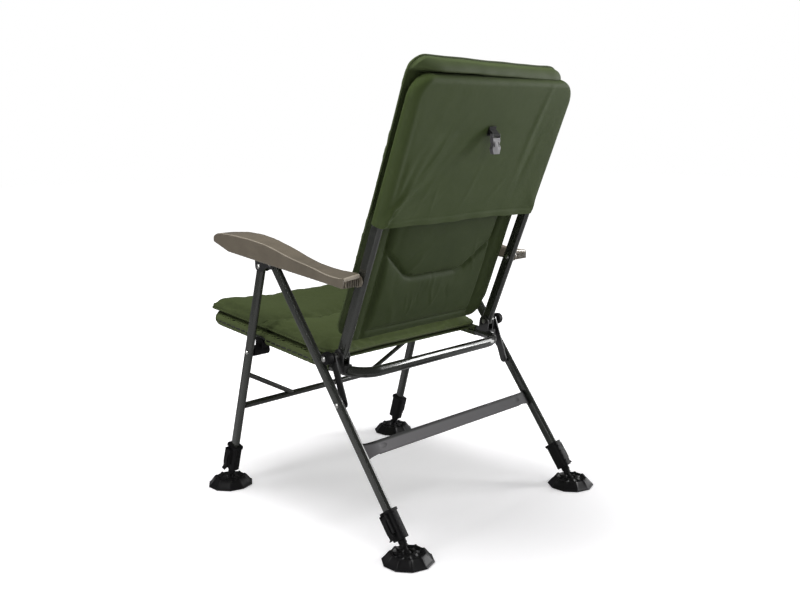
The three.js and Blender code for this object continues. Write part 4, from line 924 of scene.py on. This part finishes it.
def rear_cover():
    points, faces, _, _ = pad_form(width=0.472, height=0.630, front=cover_thick, rear=cover_thick,
                                   draw_in=0.002, corner=0.044, columns=190, pitch=0.0032)
    half = len(points) // 2
    x, z = points[half:, 0], points[half:, 2] + cover_middle
    side = np.abs(x)
    fold, _ = seam_dip(side, z, side_fold, 0.0070)
    seam, away = seam_dip(x, z, lumbar_seam, 0.0042)
    hem, _ = seam_dip(x, z, [(-0.184, hem_line), (0.184, hem_line)], 0.0034)
    inside = 1 / (1 + np.exp((side - 0.178) / 0.004))
    plump = 0.0085 * (1 - np.exp(-(away / 0.022))) * inside * (1 - np.exp(-np.abs(z - hem_line) / 0.016))
    strip = 0.0030 * np.exp(-((side - 0.208) / 0.013) ** 2)
    pucker = 0.0009 * np.sin((x * 2.0 + z) * 2 * math.pi / 0.017) * np.exp(-(away / 0.016) ** 2) * inside
    folds = creases(x, z, 12, 12, (-0.17, 0.17, 0.03, 0.32), 0.05, 0.008, 0.0012)
    pulls = creases(x, z, 17, 12, (-0.06, 0.10, 0.09, 0.15), 0.03, 0.005, 0.0011, 90)
    unevenness = 0.0012 * ripple(x, z * 1.6, 11, 0.10)
    sunk = fold_deep * fold + seam_deep * seam + hem_sunk * hem
    edge = np.clip(points[half:, 1] / cover_thick, 0, 1)
    points[half:, 1] += edge * (plump + strip + pucker + folds + pulls + unevenness - sunk)
    return points + (0, -cover_ahead, cover_middle), faces


# A darker copy of the green cloth: painted shade for the cover's recess below the pocket and between the rails.
shaded_cloth = woven_cloth("shaded_cloth", (0.038, 0.055, 0.014), (0.027, 0.041, 0.010))
cover_points, cover_faces = rear_cover()
panel = mesh_piece("rear_cover", turned(cover_points, back_tilt), cover_faces, shaded_cloth,
                   "backrest", "fabric")
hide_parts("back_panel")


# Back pocket: one sewn cover of green cloth pulled down over the rails and bow, tight over the tubes, a
# little slack between them and drawn into creases at its lower corners, with a stitched hem.
pocket_low = 0.322
pocket_high = 0.650
pocket_half = 0.2644
pocket_deep = 0.0179
pocket_corner = 0.052
pocket_crown = 0.06
pocket_fold = 0.0172
pocket_wall = 0.0014
crest_deep = 0.014
hem_deep = 0.014
# The creases that fan out from a lower corner: their rise in degrees, strength and spread.
corner_creases = ((10, 1.2, 0.10), (24, 1.5, 0.085), (36, 2.2, 0.075), (46, 3.2, 0.065), (54, 3.6, 0.055),
                  (62, 3.0, 0.055), (70, 2.2, 0.05))


def arc(middle_x, middle_y, radius, start, count):
    turn = start + np.linspace(0, math.pi / 2, count, endpoint=False)
    return np.stack([middle_x + radius * np.cos(turn), middle_y + radius * np.sin(turn)], -1)


def straight(first, last, count):
    share = np.linspace(0, 1, count, endpoint=False)[:, None]
    return np.array(first) * (1 - share) + np.array(last) * share


def rounded_loop(half, deep, corner):
    corner = min(corner, deep * 0.98)
    inner, flat = half - corner, deep - corner
    return np.concatenate([
        straight((half, -flat), (half, flat), 3), arc(inner, flat, corner, 0, 14),
        straight((inner, deep), (-inner, deep), 150), arc(-inner, flat, corner, math.pi / 2, 14),
        straight((-half, flat), (-half, -flat), 3), arc(-inner, -flat, corner, math.pi, 8),
        straight((-inner, -deep), (inner, -deep), 60), arc(inner, -flat, corner, 1.5 * math.pi, 8)])


def corner_fan(x, z, wander, height, fade):
    fan = np.zeros_like(x)
    for turn, strength, spread in corner_creases:
        run_x = -math.cos(math.radians(turn))
        run_z = math.sin(math.radians(turn))
        along = x * run_x + z * run_z
        off = x * run_z - z * run_x + wander * np.sin(along * 26 + turn)
        ridge = np.exp(-(off / (0.003 + spread * np.maximum(along, 0))) ** 2)
        fan += height * strength * ridge * np.clip(along / 0.02, 0, 1) * np.exp(-(along / fade) ** 2)
    return fan


def pocket_shell():
    crown_turn = np.linspace(0, math.pi / 2, 30)[1:]
    rows = np.concatenate([
        [pocket_low, pocket_low + 0.0008, pocket_low + 0.003],
        np.linspace(pocket_low + 0.006, pocket_high - pocket_crown, 88),
        pocket_high - pocket_crown + pocket_crown * np.sin(crown_turn)])
    rings = []
    for z in rows:
        rise = max(z - (pocket_high - pocket_corner), 0)
        wide = pocket_half - pocket_corner + math.sqrt(max(pocket_corner ** 2 - rise ** 2, 0))
        over = max(z - (pocket_high - crest_deep), 0)
        thick = pocket_deep * math.sqrt(max(1 - (over / 0.0142) ** 2, 0.0004))
        loop = rounded_loop(wide, thick, pocket_fold)
        rings.append(np.stack([loop[:, 0], loop[:, 1], np.full(len(loop), z)], -1))
    shell = np.array(rings)
    x, y, z = shell[..., 0], shell[..., 1], shell[..., 2]
    up = z - pocket_low
    rear = np.clip(y / pocket_deep, 0, 1) ** 4
    span = np.clip(1 - (np.abs(x) / 0.235) ** 4, 0, 1) * np.clip((pocket_high - 0.02 - z) / 0.10, 0, 1)
    fan = corner_fan(x - pocket_half, up, wander=0.006, height=0.0013, fade=0.23)
    fan += corner_fan(-x - pocket_half, up, wander=0, height=0.0005, fade=0.10)
    tug = 0.0022 * np.exp(-((x - 0.238) / 0.007) ** 2) * np.clip((pocket_high - 0.05 - z) / 0.2, 0, 1)
    waves = 0.0013 * ripple(x * 0.55, z * 1.5, 21, 0.13) * span
    long_creases = creases(x, z, 23, 6, (-0.24, -0.14, 0.36, 0.56), 0.10, 0.012, 0.0013, 97)
    small_creases = creases(x, z, 24, 9, (-0.10, 0.22, 0.33, 0.52), 0.05, 0.007, 0.0009, 128)
    stitch = -0.0012 * np.exp(-((up - hem_deep) / 0.0018) ** 2)
    hem = 0.0009 * (up < hem_deep) + 0.0010 * np.sin(x * 70) * np.exp(-up / 0.02)
    slack = -0.0030 * span
    shell[..., 1] += rear * (slack + fan + waves + long_creases + small_creases + stitch + hem - tug)
    shell[..., 2] -= 0.0016 * (1 + np.sin(x * 23)) * np.exp(-up / 0.03) * rear
    return shell


green_cloth = woven_cloth("green_cloth", (0.050, 0.071, 0.020), (0.038, 0.056, 0.015))
rings = pocket_shell()
pocket = mesh_piece("back_cover", turned(rings, back_tilt).reshape(-1, 3),
                    grid_faces(len(rings), rings.shape[1], close=True), green_cloth, "backrest", "fabric")
wall = pocket.modifiers.new("wall", "SOLIDIFY")
wall.thickness = pocket_wall
wall.offset = -1
apply_modifiers(pocket)
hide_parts("back_pocket")


# Seat cover: the sheet of green cloth stretched between the side tubes and wrapped round them, cut away
# at the pivot blocks; softened from the solid, with the pull of the cloth in its surface.
sling_voxel = 0.0022
sling_cloth = woven_cloth("sling_cloth", (0.064, 0.080, 0.030), (0.050, 0.066, 0.023))
sling_mesh = nodes["seat_sling"].data.copy()
sling = bpy.data.objects.new("seat_cover", sling_mesh)
link(sling)
sling_mesh.transform(nodes["seat_sling"].matrix_world)
skin = sling.modifiers.new("skin", "REMESH")
skin.mode = "VOXEL"
skin.voxel_size = sling_voxel
apply_modifiers(sling)
local = points_of(sling)
local[:, 2] += 0.0006 * ripple(local[:, 0] * 2.2, local[:, 1], 31, 0.09)
put_points(sling, local)
relax = sling.modifiers.new("relax", "SMOOTH")
relax.iterations = 4
apply_modifiers(sling)
sling.data.materials.clear()
sling.data.materials.append(sling_cloth)
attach(sling, "seat_frame")
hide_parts("seat_sling")
